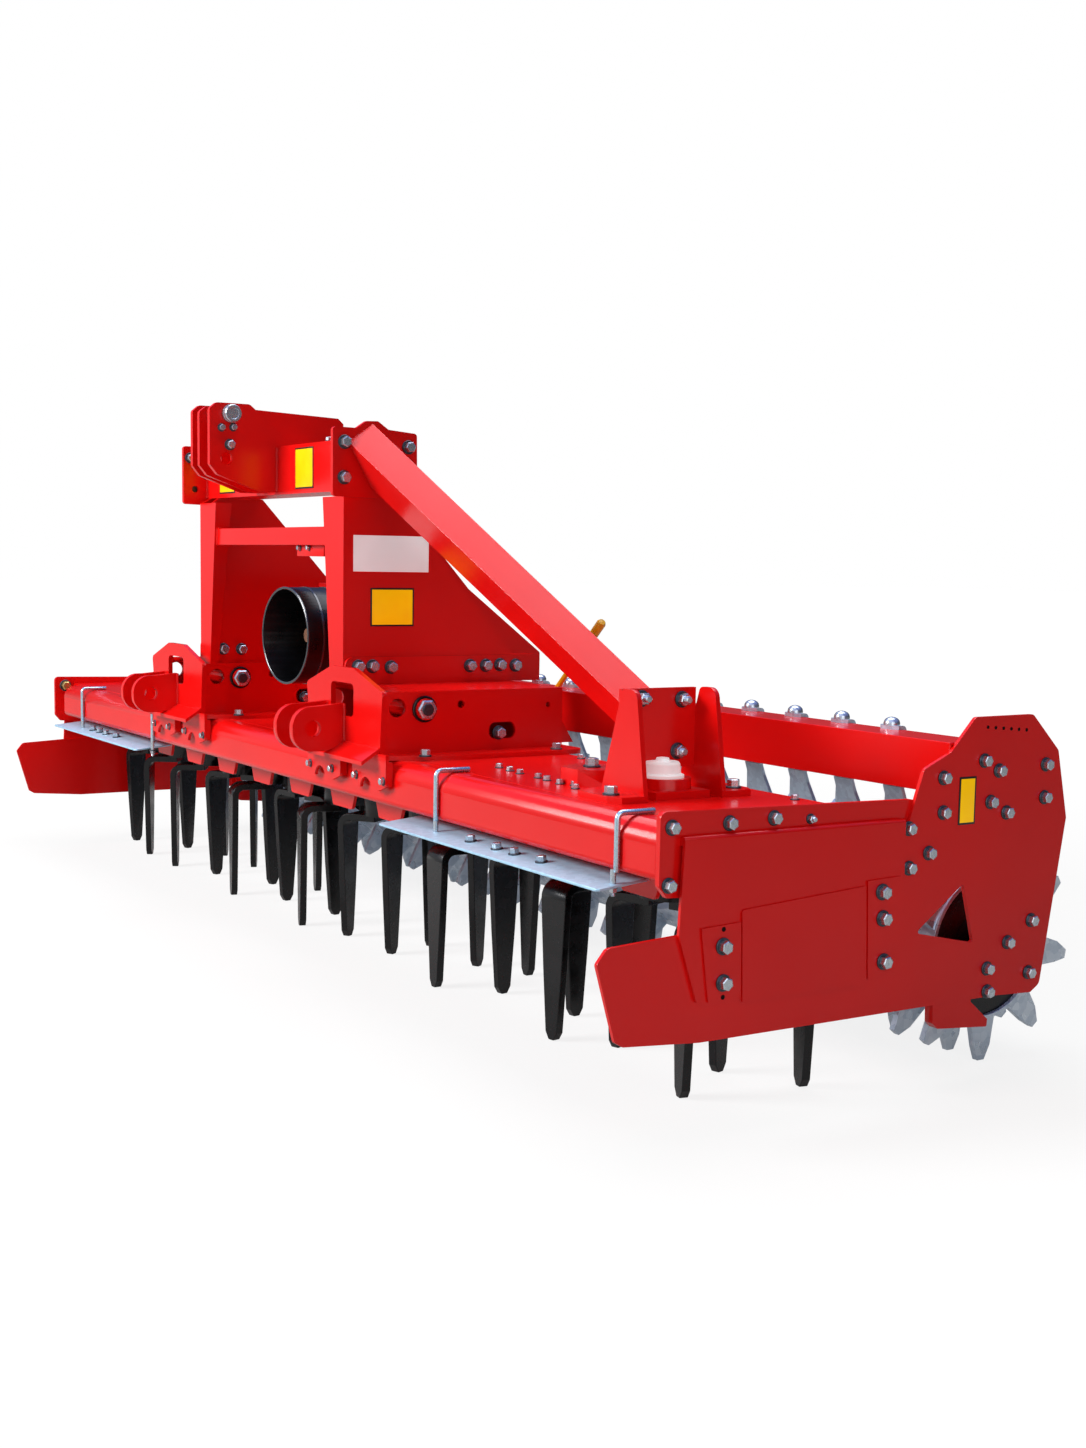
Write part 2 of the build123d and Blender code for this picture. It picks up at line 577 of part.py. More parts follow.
def make_scraper(x):
    """One scraper: a strap on the beam's rear face flaring to a blade over the drum."""
    strap = plate_yz([(RBEAM_Y1, SCRAPER_BEND), (RBEAM_Y1 + SCRAPER_T, SCRAPER_BEND), (RBEAM_Y1 + SCRAPER_T, RBEAM_Z1 + 8),
                      (RBEAM_Y1 - 24, RBEAM_Z1 + 8), (RBEAM_Y1 - 24, RBEAM_Z1), (RBEAM_Y1, RBEAM_Z1)],
                     x - 27, x + 27, radii={2: 10})
    # rounded corners of the hook over the beam
    hook = plate_xy([(x - 27, RBEAM_Y1 + SCRAPER_T), (x - 27, RBEAM_Y1 - 14), (x - 16, RBEAM_Y1 - 24), (x + 16, RBEAM_Y1 - 24),
                     (x + 27, RBEAM_Y1 - 14), (x + 27, RBEAM_Y1 + SCRAPER_T)], SCRAPER_BEND - 1, RBEAM_Z1 + 9)
    strap = strap & hook
    y0, z0 = RBEAM_Y1 + SCRAPER_T / 2, SCRAPER_BEND
    reach = DRUM_R + SCRAPER_GAP
    y1 = ROLLER_Y + reach * cos(radians(SCRAPER_LEAN))
    z1 = ROLLER_Z + reach * sin(radians(SCRAPER_LEAN))
    run = sqrt((y1 - y0) ** 2 + (z1 - z0) ** 2)
    dy, dz = (y1 - y0) / run, (z1 - z0) / run
    plane = Plane(origin=(x, y0, z0), x_dir=(1, 0, 0), z_dir=(0, -dz, dy))
    blade = outline([(-27, -5), (27, -5), (28, 24), (36, 66), (52, 108), (64, 126), (64, run), (-64, run), (-64, 112),
                     (-27, 16)], radii={3: 30, 5: 8, 8: 8, 9: 10})
    blade = cut_holes(blade, [(-44, 126, 9)])
    return strap + extrude(plane * blade, SCRAPER_T / 2, both=True)


def make_scrapers():
    """The row of scrapers, one between every two tooth rings."""
    return Compound(children=[make_scraper((ring_x(k) + ring_x(k + 1)) / 2) for k in range(ROLLER_RINGS - 1)])


def make_bearing():
    """Round roller bearing carrier on the inside of the side plate."""
    return (rod((SIDE_X - 14, ROLLER_Y, ROLLER_Z), "x", 57, 14)
            + rod((SIDE_X - 50, ROLLER_Y, ROLLER_Z), "x", 50, 36)
            - rod((SIDE_X - 51, ROLLER_Y, ROLLER_Z), "x", STUB_R + RUN_FIT, 60))


def main():
    """Build every part and write it out."""
    os.makedirs("parts", exist_ok=True)
    put("gear_trough", make_trough() + make_lugs())
    put("trough_lid", make_lid())
    put("front_beam", make_front_beam())
    put("end_plate_right", make_end_plate())
    put("end_plate_left", to_left(make_end_plate()))
    put("lower_hitch_right", make_hitch(HITCH_X) + make_ears(HITCH_X) + make_tower_foot())
    put("lower_hitch_left", make_hitch(-HITCH_X) + make_ears(-HITCH_X) + to_left(make_tower_foot()))
    put("tower_right", make_tower())
    put("tower_left", to_left(make_tower()))
    put("cross_tube", make_cross_tube())
    put("head_beam", make_head_beam() + make_link_plates())
    put("head_plates", Compound(children=[make_head_plate(), to_left(make_head_plate())]))
    put("top_link_pin", make_link_pin())
    put("side_brace", make_brace())
    put("brace_bracket", make_bracket())
    put("gearbox", make_gearbox())
    put("pto_guard", make_guard())
    put("input_shaft", make_input_shaft())
    put("stone_guards", Compound(children=[make_stone_guard("right"), make_stone_guard("left")]))
    put("guard_hooks", Compound(children=make_hooks("right") + make_hooks("left")))
    for name, maker in (("side_plate", make_side_plate), ("side_shield", make_shield)):
        put(f"{name}_right", maker())
        put(f"{name}_left", to_left(maker()))
    for name, maker in (("side_skids", make_skid), ("roller_bearings", make_bearing)):
        put(name, Compound(children=[maker(), to_left(maker())]))
    put("roller_beam", make_roller_beam())
    put("scrapers", make_scrapers())
    put("packer_roller", make_roller())
    put("roller_ends", make_roller_ends())
    for i in range(ROTORS):
        put(f"rotor_{i + 1:02d}_head", make_rotor_head(i))
        put(f"rotor_{i + 1:02d}_tines", make_tines(i))
    for name, part in PARTS.items():
        export_step(part, f"parts/{name}.step")


main()
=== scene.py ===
"""Finishes and small parts of a 3.5 m power harrow with a spiked packer roller.

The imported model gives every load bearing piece. This script gives each of
those its finish and its softened edges, and adds what a fitter would add last:
bolts, washers, weld beads, the drive guard's rim, the filler cap, the hand
lever and the blank plates. It also hangs two zinc stone guards in place of the
packed ones.

Lengths in the tables are millimetres in the model's own frame: X across the
machine, -Y towards the tractor, +Z up from the ground. MM turns them to
metres. The camera and the lamps are placed in metres.
"""

import logging
import math
from dataclasses import dataclass, field
from enum import Enum
from typing import Sequence

import bmesh
import bpy
from mathutils import Matrix, Vector

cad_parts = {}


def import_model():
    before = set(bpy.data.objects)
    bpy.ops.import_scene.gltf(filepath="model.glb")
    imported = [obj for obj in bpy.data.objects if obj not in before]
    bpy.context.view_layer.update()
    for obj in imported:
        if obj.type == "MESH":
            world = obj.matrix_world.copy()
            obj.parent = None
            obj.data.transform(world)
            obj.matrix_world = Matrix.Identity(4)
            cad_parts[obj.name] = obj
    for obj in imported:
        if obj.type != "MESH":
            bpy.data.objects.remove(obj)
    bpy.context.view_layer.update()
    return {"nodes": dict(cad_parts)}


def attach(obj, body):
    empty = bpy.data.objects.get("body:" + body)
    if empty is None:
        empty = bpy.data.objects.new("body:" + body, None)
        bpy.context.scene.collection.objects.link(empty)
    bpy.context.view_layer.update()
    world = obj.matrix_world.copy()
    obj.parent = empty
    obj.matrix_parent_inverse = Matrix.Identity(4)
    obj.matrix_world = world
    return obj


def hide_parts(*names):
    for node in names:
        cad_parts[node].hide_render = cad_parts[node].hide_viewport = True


log = logging.getLogger("power_harrow")

MM = 0.001
Point = tuple[float, float, float]
Pair = tuple[float, float]
Colour = tuple[float, float, float, float]
Tree, Node, Socket = bpy.types.NodeTree, bpy.types.Node, bpy.types.NodeSocket
Patterns = tuple[Socket, Socket, Socket]

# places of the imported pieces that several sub-parts are fixed to, in millimetres
SIDES = (1, -1)  # right end first, then left
END_FACE = 1785.0  # outer face of the trough's end plates
SIDE_FACE = 1793.0  # outer face of the long side plates
HITCH_X = 546.0  # middle of each lower hitch
BOX_FACE = 164.0  # outer face of a hitch box, from its middle
HEAD_X = 478.0  # end of the head tube
HEAD_FRONT, HEAD_TOP = -430.0, 1274.0  # front and top face of the head tube
LINK_PLANES = (0.0, -70.0, -118.0)  # middle planes of the top link plates
LINK_HALF = 7.0  # half the thickness of a top link plate
DRIVE_Z = 797.0  # height of the drive shaft
LID_TOP = 555.0  # top of the trough's lid
ROTORS, PITCH = 14, 250.0  # rotors and their spacing


# ---- colours
def linear(code: str) -> Colour:
    """Turn an sRGB hex colour into the linear colour Blender works in.

    Args:
        code: Six hex digits, with or without the leading hash.

    Returns:
        Linear red, green, blue and an alpha of one.
    """
    digits = code.lstrip("#")
    out = []
    for i in (0, 2, 4):
        c = int(digits[i : i + 2], 16) / 255.0
        out.append(c / 12.92 if c <= 0.04045 else ((c + 0.055) / 1.055) ** 2.4)
    return (out[0], out[1], out[2], 1.0)


def add_node(
    tree: Tree,
    kind: str,
    values: dict[str | int, object] | None = None,
    links: dict[str | int, Socket] | None = None,
    **settings: object,
) -> Node:
    """Add one node, set its properties and inputs, and link what feeds it.

    Args:
        tree: The node tree to add to.
        kind: The node's type name.
        values: Constants for its inputs, by socket name or index.
        links: Output sockets to link to its inputs, by socket name or index.
        **settings: Properties of the node itself.

    Returns:
        The new node.
    """
    node = tree.nodes.new(kind)
    for key, value in settings.items():
        setattr(node, key, value)
    for key, value in (values or {}).items():
        node.inputs[key].default_value = value
    for key, socket in (links or {}).items():
        tree.links.new(socket, node.inputs[key])
    return node


def empty_tree(owner: bpy.types.Material | bpy.types.World) -> Tree:
    """Return the node tree of a new material or world, with nothing in it."""
    owner.use_nodes = True
    owner.node_tree.nodes.clear()
    return owner.node_tree


# ---- finishes
class Slot(Enum):
    """Names of the material slots; each finish carries one."""

    RED = "red_paint"
    BLACK = "black_paint"
    ZINC = "zinc"
    PLASTIC = "black_plastic"
    YELLOW = "yellow_zinc"


@dataclass(frozen=True)
class Finish:
    """What every finish shares: a name, a slot and a way to become a material."""

    name: str
    slot: Slot = Slot.ZINC

    def material(self) -> bpy.types.Material:
        """Return this finish's material, making it the first time.

        Returns:
            The material with its node tree.
        """
        made = bpy.data.materials.get(self.name)
        if made is not None:
            return made
        made = bpy.data.materials.new(self.name)
        tree = empty_tree(made)
        shader = add_node(tree, "ShaderNodeBsdfPrincipled")
        add_node(tree, "ShaderNodeOutputMaterial", links={"Surface": shader.outputs["BSDF"]})
        for name, socket in zip(("Base Color", "Roughness", "Normal"), self.dress(tree, shader)):
            tree.links.new(socket, shader.inputs[name])
        return made

    def dress(self, tree: Tree, shader: Node) -> Patterns:
        """Set the shader's own values and lay out its patterns.

        Args:
            tree: The material's node tree.
            shader: Its Principled shader.

        Returns:
            What feeds its base colour, its roughness and its normal.
        """
        raise NotImplementedError


def place(tree: Tree) -> Socket:
    """Return the object coordinates, in metres, that every pattern is laid out in."""
    return add_node(tree, "ShaderNodeTexCoord").outputs["Object"]


def per_mm(size: float) -> float:
    """Return the pattern scale that repeats about every size millimetres."""
    return 1.0 / (size * MM)


def noise(tree: Tree, where: Socket, size: float, detail: float = 3.0) -> Socket:
    """Add a noise pattern.

    Args:
        tree: The node tree.
        where: The coordinates.
        size: Size of the pattern's patches in millimetres.
        detail: Octaves of finer noise.

    Returns:
        The pattern's factor output.
    """
    node = add_node(
        tree,
        "ShaderNodeTexNoise",
        {"Scale": per_mm(size), "Detail": detail, "Roughness": 0.55},
        {"Vector": where},
    )
    return node.outputs["Fac"]


def ramp(
    tree: Tree, factor: Socket, low: Colour, high: Colour, start: float = 0.35, end: float = 0.65
) -> Socket:
    """Map a factor to a colour between two ends.

    Args:
        tree: The node tree.
        factor: What drives it.
        low: Colour at and below start.
        high: Colour at and above end.
        start: Factor where the change begins.
        end: Factor where it is complete.

    Returns:
        The colour output.
    """
    node = add_node(tree, "ShaderNodeValToRGB", links={"Fac": factor})
    stops = node.color_ramp.elements
    stops[0].position, stops[1].position = start, end
    stops[0].color, stops[1].color = low, high
    return node.outputs["Color"]


def grey(level: float) -> Colour:
    """Return a linear grey, as a colour or for a ramp that drives a number."""
    return (level, level, level, 1.0)


def bump(tree: Tree, height: Socket, depth: float, strength: float, under: Socket | None = None) -> Socket:
    """Add a bump of a real depth.

    Args:
        tree: The node tree.
        height: The height pattern.
        depth: Height of the pattern in millimetres.
        strength: How much of it is seen.
        under: A normal this bump lies over.

    Returns:
        The normal output.
    """
    links = {"Height": height}
    if under is not None:
        links["Normal"] = under
    node = add_node(tree, "ShaderNodeBump", {"Distance": depth * MM, "Strength": strength}, links)
    return node.outputs["Normal"]


def gloss(tree: Tree, factor: Socket, ends: Pair, *span: float) -> Socket:
    """Map a factor to a roughness between two ends, over a span as ramp does."""
    return ramp(tree, factor, grey(ends[0]), grey(ends[1]), *span)


@dataclass(frozen=True)
class PowderCoat(Finish):
    """Polyester powder coat on steel: one deep colour under an even gloss.

    The coat has a faint orange peel, a few millimetres across, that makes
    reflections soft instead of mirror sharp. The colour drifts a little over
    large plates, and handling leaves the gloss slightly uneven.
    """

    slot: Slot = Slot.RED
    colour: str = "#EF100E"
    shade: str = "#E30D0C"
    roughness: Pair = (0.2, 0.25)
    drift: float = 420.0
    handling: float = 160.0
    peel: float = 6.0
    sheen: float = 0.3
    cast: float = 0.0
    sand: float = 2.5

    def dress(self, tree: Tree, shader: Node) -> Patterns:
        """Set colour drift, uneven gloss and orange peel."""
        where = place(tree)
        drift = noise(tree, where, self.drift, 2.0)
        tint = ramp(tree, drift, linear(self.shade), linear(self.colour), 0.3, 0.7)
        handled = noise(tree, where, self.handling, 3.0)
        normal = bump(tree, noise(tree, where, self.peel, 1.0), 0.01, 0.25)
        if self.cast > 0.0:
            # the skin of sand cast iron shows through the coat
            normal = bump(tree, noise(tree, where, self.sand, 3.0), self.cast, 0.6, normal)
        shader.inputs["IOR"].default_value = 1.5
        shader.inputs["Specular IOR Level"].default_value = self.sheen
        return tint, gloss(tree, handled, self.roughness, 0.3, 0.7), normal


@dataclass(frozen=True)
class Galvanised(Finish):
    """Hot dip galvanised steel: pale blue-grey zinc with crystal spangle.

    Spangle crystals are about 11 mm across; each catches the light a little
    differently, which gives the surface its patchwork.
    """

    colour: str = "#C9E0F0"
    shade: str = "#B4CADC"
    spangle: float = 11.0
    run: float = 24.0
    roughness: Pair = (0.3, 0.4)
    metallic: float = 0.7

    def dress(self, tree: Tree, shader: Node) -> Patterns:
        """Set colour and roughness by crystal, and the shallow runs of the dip."""
        where = place(tree)
        cells = add_node(
            tree,
            "ShaderNodeTexVoronoi",
            {"Scale": per_mm(self.spangle), "Randomness": 1.0},
            {"Vector": where},
        )
        crystal = add_node(tree, "ShaderNodeSeparateColor", links={"Color": cells.outputs["Color"]})
        tint = ramp(tree, crystal.outputs["Red"], linear(self.shade), linear(self.colour), 0.0, 1.0)
        rough = gloss(tree, crystal.outputs["Green"], self.roughness, 0.0, 1.0)
        shader.inputs["Metallic"].default_value = self.metallic
        return tint, rough, bump(tree, noise(tree, where, self.run, 2.0), 0.05, 0.25)


@dataclass(frozen=True)
class PlatedFastener(Finish):
    """Zinc plated bolt steel: bright, finely satin, slightly uneven."""

    colour: str = "#C4CCD2"
    shade: str = "#AEB8C0"
    roughness: Pair = (0.22, 0.3)
    metallic: float = 0.85
    patch: float = 5.0
    satin: float = 2.0

    def dress(self, tree: Tree, shader: Node) -> Patterns:
        """Set satin colour and roughness patches a few millimetres wide."""
        where = place(tree)
        patch = noise(tree, where, self.patch, 3.0)
        tint = ramp(tree, patch, linear(self.shade), linear(self.colour), 0.3, 0.62)
        rough = gloss(tree, patch, self.roughness[::-1])
        shader.inputs["Metallic"].default_value = self.metallic
        return tint, rough, bump(tree, noise(tree, where, self.satin, 1.0), 0.01, 0.2)


@dataclass(frozen=True)
class BlackForging(Finish):
    """Dipped black paint over hot forged steel: half gloss with forge scale under it."""

    slot: Slot = Slot.BLACK
    colour: str = "#0D0D0F"
    shade: str = "#060607"
    roughness: Pair = (0.2, 0.32)
    patch: float = 40.0
    scale: float = 22.0
    pitting: float = 2.2

    def dress(self, tree: Tree, shader: Node) -> Patterns:
        """Set the paint's depth, its duller patches and the scale beneath."""
        where = place(tree)
        patch = noise(tree, where, self.patch, 4.0)
        tint = ramp(tree, patch, linear(self.shade), linear(self.colour))
        scale = bump(tree, noise(tree, where, self.scale, 2.0), 0.12, 0.3)
        pitted = bump(tree, noise(tree, where, self.pitting, 2.0), 0.02, 0.2, scale)
        shader.inputs["IOR"].default_value = 1.5
        shader.inputs["Specular IOR Level"].default_value = 0.35
        return tint, gloss(tree, patch, self.roughness), pitted


@dataclass(frozen=True)
class Moulded(Finish):
    """Moulded plastic, film or print: even colour with a fine spark-eroded grain."""

    slot: Slot = Slot.PLASTIC
    colour: str = "#141416"
    roughness: Pair = (0.36, 0.46)
    drift: float = 60.0
    depth: float = 0.86
    grain: float = 1.2
    coat: float = 0.0
    sheen: float = 0.5
    glow: float = 0.0

    def dress(self, tree: Tree, shader: Node) -> Patterns:
        """Set the moulded colour, a soft drift in gloss and the grain."""
        where = place(tree)
        drift = noise(tree, where, self.drift, 2.0)
        full = linear(self.colour)
        deep = (full[0] * self.depth, full[1] * self.depth, full[2] * self.depth, 1.0)
        grain = bump(tree, noise(tree, where, self.grain, 1.0), 0.03, 0.4)
        shader.inputs["IOR"].default_value = 1.49
        shader.inputs["Specular IOR Level"].default_value = self.sheen
        shader.inputs["Coat Weight"].default_value = self.coat
        # retro-reflective film sends back more light than plain paint does; here a weak emission paints that
        # extra light in, though the film is no lamp
        shader.inputs["Emission Color"].default_value = full
        shader.inputs["Emission Strength"].default_value = self.glow
        return ramp(tree, drift, deep, full), gloss(tree, drift, self.roughness), grain


# folded plates, tubes and castings, all in one red
RED = PowderCoat("red_polyester_powder_coat")
RED_CAST = PowderCoat("red_powder_coat_on_grey_iron", cast=0.08, roughness=(0.28, 0.36))
# zinc: scrapers, roller, guard sheets
ZINC = Galvanised("hot_dip_galvanised_steel")
ZINC_ROLLER = Galvanised(
    "galvanised_roller_shell", colour="#D5DFEA", shade="#B4C2D2", spangle=16.0, roughness=(0.26, 0.4)
)
ZINC_SHEET = Galvanised(
    "galvanised_guard_sheet", colour="#B8E2FA", shade="#A9D3EC", roughness=(0.4, 0.5), metallic=0.25
)
# turned and headed steel
BOLT = PlatedFastener("zinc_plated_bolt_steel")
# darker zinc for washers and cross pin ends: painted shade, the dark outline round each bolt head
ZINC_IN_PAINTED_SHADE = PlatedFastener(
    "zinc_plated_steel_in_painted_shade", colour="#474E55", shade="#373D43", roughness=(0.3, 0.4), metallic=0.7
)
ZINC_ROD = PlatedFastener("zinc_plated_round_bar", colour="#C3DCE8", shade="#A9C4D2", roughness=(0.2, 0.28))
SPLINE_STEEL = PlatedFastener(
    "greased_spline_steel", colour="#D9A184", shade="#B9795A", roughness=(0.25, 0.4)
)
YELLOW_ZINC = PlatedFastener(
    "yellow_passivated_steel", slot=Slot.YELLOW, colour="#D8BE7A", shade="#A98F4E", roughness=(0.24, 0.4)
)
# black paint on the rotors; the roller's ends are plain black
BLACK = BlackForging("black_dipped_forging")
BLACK_ROLLER_END = BlackForging("black_roller_end_plate", colour="#101113", shade="#08090A", scale=30.0)
# plastics, films and the dark of a drilled hole
GUARD_PLASTIC = Moulded("black_polyethylene_moulded", colour="#08080A", roughness=(0.26, 0.34), sheen=0.3)
# pale bluish grey on the guard's rim and seams: a painted highlight along their edges
RIM_PAINTED_HIGHLIGHT = Moulded("polyethylene_edge_painted_highlight", colour="#2A3238", roughness=(0.16, 0.22), sheen=0.9)
YELLOW_CAP = Moulded("yellow_polyethylene_cap", colour="#EDB200", roughness=(0.34, 0.44), coat=0.2)
# white and yellow films glow a little: painted light, though they are no lamps
WHITE_FILM = Moulded("white_vinyl_film", colour="#FBFCFE", roughness=(0.3, 0.4), sheen=0.3, glow=0.26)
YELLOW_FILM = Moulded("yellow_vinyl_film", colour="#FFC400", roughness=(0.3, 0.4), sheen=0.3, glow=0.4)
# a thin dark band round each film
DARK_EDGE = Moulded("dark_film_border", colour="#1A1712", roughness=(0.35, 0.45))
HOLE = Moulded("shaded_drilling", colour="#1A0302", roughness=(0.6, 0.7), sheen=0.1)


# ---- mesh building
# limits in degrees under which edges shade smooth
CRISP, TURNED, FOLDED, ROUND, RIPPLED = 20.0, 30.0, 35.0, 40.0, 50.0


@dataclass
class MeshMaker:
    """Collects many small solids into one mesh piece."""

    name: str
    finish: Finish
    body: str = "frame"
    verts: list[Vector] = field(default_factory=list)
    faces: list[list[int]] = field(default_factory=list)

    def add(self, verts: Sequence[Vector], faces: Sequence[Sequence[int]], turn: Matrix) -> None:
        """Add a small solid.

        Args:
            verts: Its corners in millimetres, in its own frame.
            faces: Its faces as indices.
            turn: Where it goes.
        """
        base = len(self.verts)
        self.verts.extend((turn @ v) * MM for v in verts)
        self.faces.extend([[base + i for i in f] for f in faces])

    def lathe(self, profile: Sequence[Pair], turn: Matrix, sides: int = 20, ring: bool = False) -> None:
        """Add a turned solid.

        Args:
            profile: (radius, height) pairs from the bottom to the top.
            turn: Where it goes; it stands along +Z of its own frame.
            sides: Number of sides round it.
            ring: Whether the profile closes on itself and leaves the middle open.
        """
        verts, faces = [], []
        for r, h in profile:
            for k in range(sides):
                a = 2 * math.pi * k / sides
                verts.append(Vector((r * math.cos(a), r * math.sin(a), h)))
        count = len(profile)
        for row in range(count if ring else count - 1):
            low, high = row * sides, (row + 1) % count * sides
            for k in range(sides):
                step = (k + 1) % sides
                faces.append([low + k, low + step, high + step, high + k])
        if not ring:
            faces.append(list(range(sides))[::-1])
            faces.append([(count - 1) * sides + k for k in range(sides)])
        self.add(verts, faces, turn)

    def box(self, lo: Point, hi: Point, soft: float) -> None:
        """Add a box between two corners, with rounded edges.

        Args:
            lo: Lowest corner in millimetres.
            hi: Highest corner in millimetres.
            soft: How far its edges are cut back.
        """
        mesh = bmesh.new()
        bmesh.ops.create_cube(mesh, size=1.0)
        size = Vector([b - a for a, b in zip(lo, hi)])
        mid = Vector([(b + a) / 2 for a, b in zip(lo, hi)])
        for v in mesh.verts:
            v.co = Vector((v.co.x * size.x, v.co.y * size.y, v.co.z * size.z)) + mid
        bmesh.ops.bevel(mesh, geom=mesh.edges[:], offset=soft, segments=2, affect="EDGES", profile=0.6)
        mesh.verts.index_update()
        corners = [v.co.copy() for v in mesh.verts]
        self.add(corners, [[v.index for v in f.verts] for f in mesh.faces], Matrix.Identity(4))
        mesh.free()

    def finish_piece(self, smooth_angle: float = FOLDED) -> bpy.types.Object:
        """Make the object, give it its finish and let it ride on its body.

        Args:
            smooth_angle: Edges flatter than this many degrees shade smooth.

        Returns:
            The new object.
        """
        data = bpy.data.meshes.new(self.name)
        data.from_pydata([tuple(v) for v in self.verts], [], self.faces)
        data.update()
        obj = bpy.data.objects.new(self.name, data)
        bpy.context.scene.collection.objects.link(obj)
        data.materials.append(self.finish.material())
        shade_by_angle(obj, smooth_angle)
        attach(obj, self.body)
        log.info("%s: %d faces on %s", self.name, len(self.faces), self.body)
        return obj


def shade_by_angle(obj: bpy.types.Object, degrees: float) -> None:
    """Shade a mesh smooth except across edges sharper than an angle.

    Args:
        obj: The mesh object.
        degrees: The angle.
    """
    data = obj.data
    data.polygons.foreach_set("use_smooth", [True] * len(data.polygons))
    mesh = bmesh.new()
    mesh.from_mesh(data)
    limit = math.radians(degrees)
    for edge in mesh.edges:
        edge.smooth = len(edge.link_faces) == 2 and edge.calc_face_angle(0.0) < limit
    mesh.to_mesh(data)
    mesh.free()


def aim(at: Point, towards: Point, spin: float = 0.0) -> Matrix:
    """Return the place of a small solid that stands along a direction.

    Args:
        at: Its foot in millimetres.
        towards: The direction it stands along.
        spin: Turn about that direction, in degrees.

    Returns:
        The matrix that puts it there.
    """
    z = Vector(towards).normalized()
    turn = z.to_track_quat("Z", "Y").to_matrix().to_4x4()
    return Matrix.Translation(Vector(at)) @ turn @ Matrix.Rotation(math.radians(spin), 4, "Z")


# ---- fasteners
@dataclass(frozen=True)
class BoltRow:
    """Bolts of one size on one flat face.

    Attributes:
        axis: The axis the face looks along, 0 for X, 1 for Y and 2 for Z.
        face: Where the face lies on that axis.
        flats: Width of the hexagons across the flats.
        spots: The other two coordinates of every bolt.
        way: 1 where the heads face up the axis, -1 where they face down it.
        shank: How far a threaded end stands out of the nut, 0 for a head.
    """

    axis: int
    face: float
    flats: float
    spots: tuple[Pair, ...]
    way: int = 1
    shank: float = 0.0


@dataclass
class BoltSet:
    """Hexagon bolts in one piece and their washers in another.

    The sizes are shares of a bolt's width across the flats.
    """

    maker: MeshMaker
    count: int = 0
    washers: MeshMaker = field(init=False)
    washer_r: float = 0.74
    washer_top_r: float = 0.69
    washer_t: float = 0.16
    head_h: float = 0.62
    top_r: float = 0.475
    thread_r: float = 0.33
    lead: float = 1.75
    twist: float = 17.0

    def __post_init__(self) -> None:
        """Open the piece that takes the washers."""
        # the washers take the darker zinc that paints the shade round each head
        self.washers = MeshMaker(f"{self.maker.name}_washers", ZINC_IN_PAINTED_SHADE)

    def finish(self) -> None:
        """Close both pieces, with crisp hexagon edges."""
        self.maker.finish_piece(CRISP)
        self.washers.finish_piece(CRISP)

    def hexagon(self, flats: float, low: float, high: float, turn: Matrix) -> None:
        """Add a hexagon prism with its top corners chamfered.

        Args:
            flats: Width across the flats.
            low: Height of its foot.
            high: Height of its top.
            turn: Where it goes.
        """
        r, top = flats / math.sqrt(3), flats * self.top_r
        self.maker.lathe([(r, low), (r, high - (r - top) * 0.55), (top, high)], turn, 6)

    def bolt(self, at: Point, towards: Point, flats: float, shank: float = 0.0) -> None:
        """Add a bolt head on a washer; with a shank it reads as a nut on a stud.

        Args:
            at: Point on the plate's face, in millimetres.
            towards: The way the head faces.
            flats: Width across the flats.
            shank: How far a threaded end stands out of the nut, 0 for a head.
        """
        turn = aim(at, towards, self.twist * (self.count % 7))
        self.count += 1
        r, top_r, thick = flats * self.washer_r, flats * self.washer_top_r, flats * self.washer_t
        self.washers.lathe([(r, -1.0), (r, thick * 0.75), (top_r, thick)], turn, 24)
        top = thick + flats * self.head_h
        self.hexagon(flats, -0.5, top, turn)
        if shank > 0:
            r, turns = flats * self.thread_r, max(2, int(shank / self.lead))
            rings = [(r, thick)]
            for k in range(turns):
                h = top + shank * k / turns
                rings += [(r, h), (r * 0.88, h + shank / turns * 0.5)]
            rings += [(r, top + shank), (r * 0.75, top + shank + 1.2)]
            self.maker.lathe(rings, turn, 16)

    def row(self, row: BoltRow, side: int = 1, shift: float = 0.0) -> None:
        """Add every bolt of a row.

        Args:
            row: The row.
            side: 1 as it is written, -1 for a row on an X face mirrored to the left end.
            shift: How far the row moves along X, in millimetres.
        """
        towards = [0.0, 0.0, 0.0]
        towards[row.axis] = float(row.way * side)
        for spot in row.spots:
            at = list(spot)
            at.insert(row.axis, row.face * side)
            at[0] += shift
            self.bolt(tuple(at), tuple(towards), row.flats, row.shank)


@dataclass
class WeldSet:
    """Weld beads: rippled fillets laid along the joints."""

    maker: MeshMaker
    ripple: float = 5.0

    def bead(self, start: Point, end: Point, size: float = 4.5) -> None:
        """Lay one bead.

        Args:
            start: Where it begins, in millimetres.
            end: Where it ends.
            size: Its radius in millimetres.
        """
        way = Vector(end) - Vector(start)
        count = max(2, round(way.length / self.ripple))
        step = way.length / count
        low, end_r = size * 0.86, size * 0.4
        rings = [(end_r, 0.0)]
        for k in range(count):
            rings += [(low, (k + 0.12) * step), (size, (k + 0.5) * step), (low, (k + 0.88) * step)]
        rings.append((end_r, way.length))
        self.maker.lathe(rings, aim(start, tuple(way)), 8)

    def loop(self, corners: Sequence[Point]) -> None:
        """Lay beads round a closed outline of corners."""
        for start, end in zip(corners, list(corners[1:]) + [corners[0]]):
            self.bead(start, end)


# ---- sub-assemblies
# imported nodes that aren't red; the rotors are black
NODE_FINISHES = {
    "gearbox": RED_CAST,
    "pto_guard": GUARD_PLASTIC,
    "guard_hooks": ZINC_ROD,
    "scrapers": ZINC,
    "packer_roller": ZINC_ROLLER,
    "roller_ends": BLACK_ROLLER_END,
    "input_shaft": SPLINE_STEEL,
    "top_link_pin": BOLT,
}


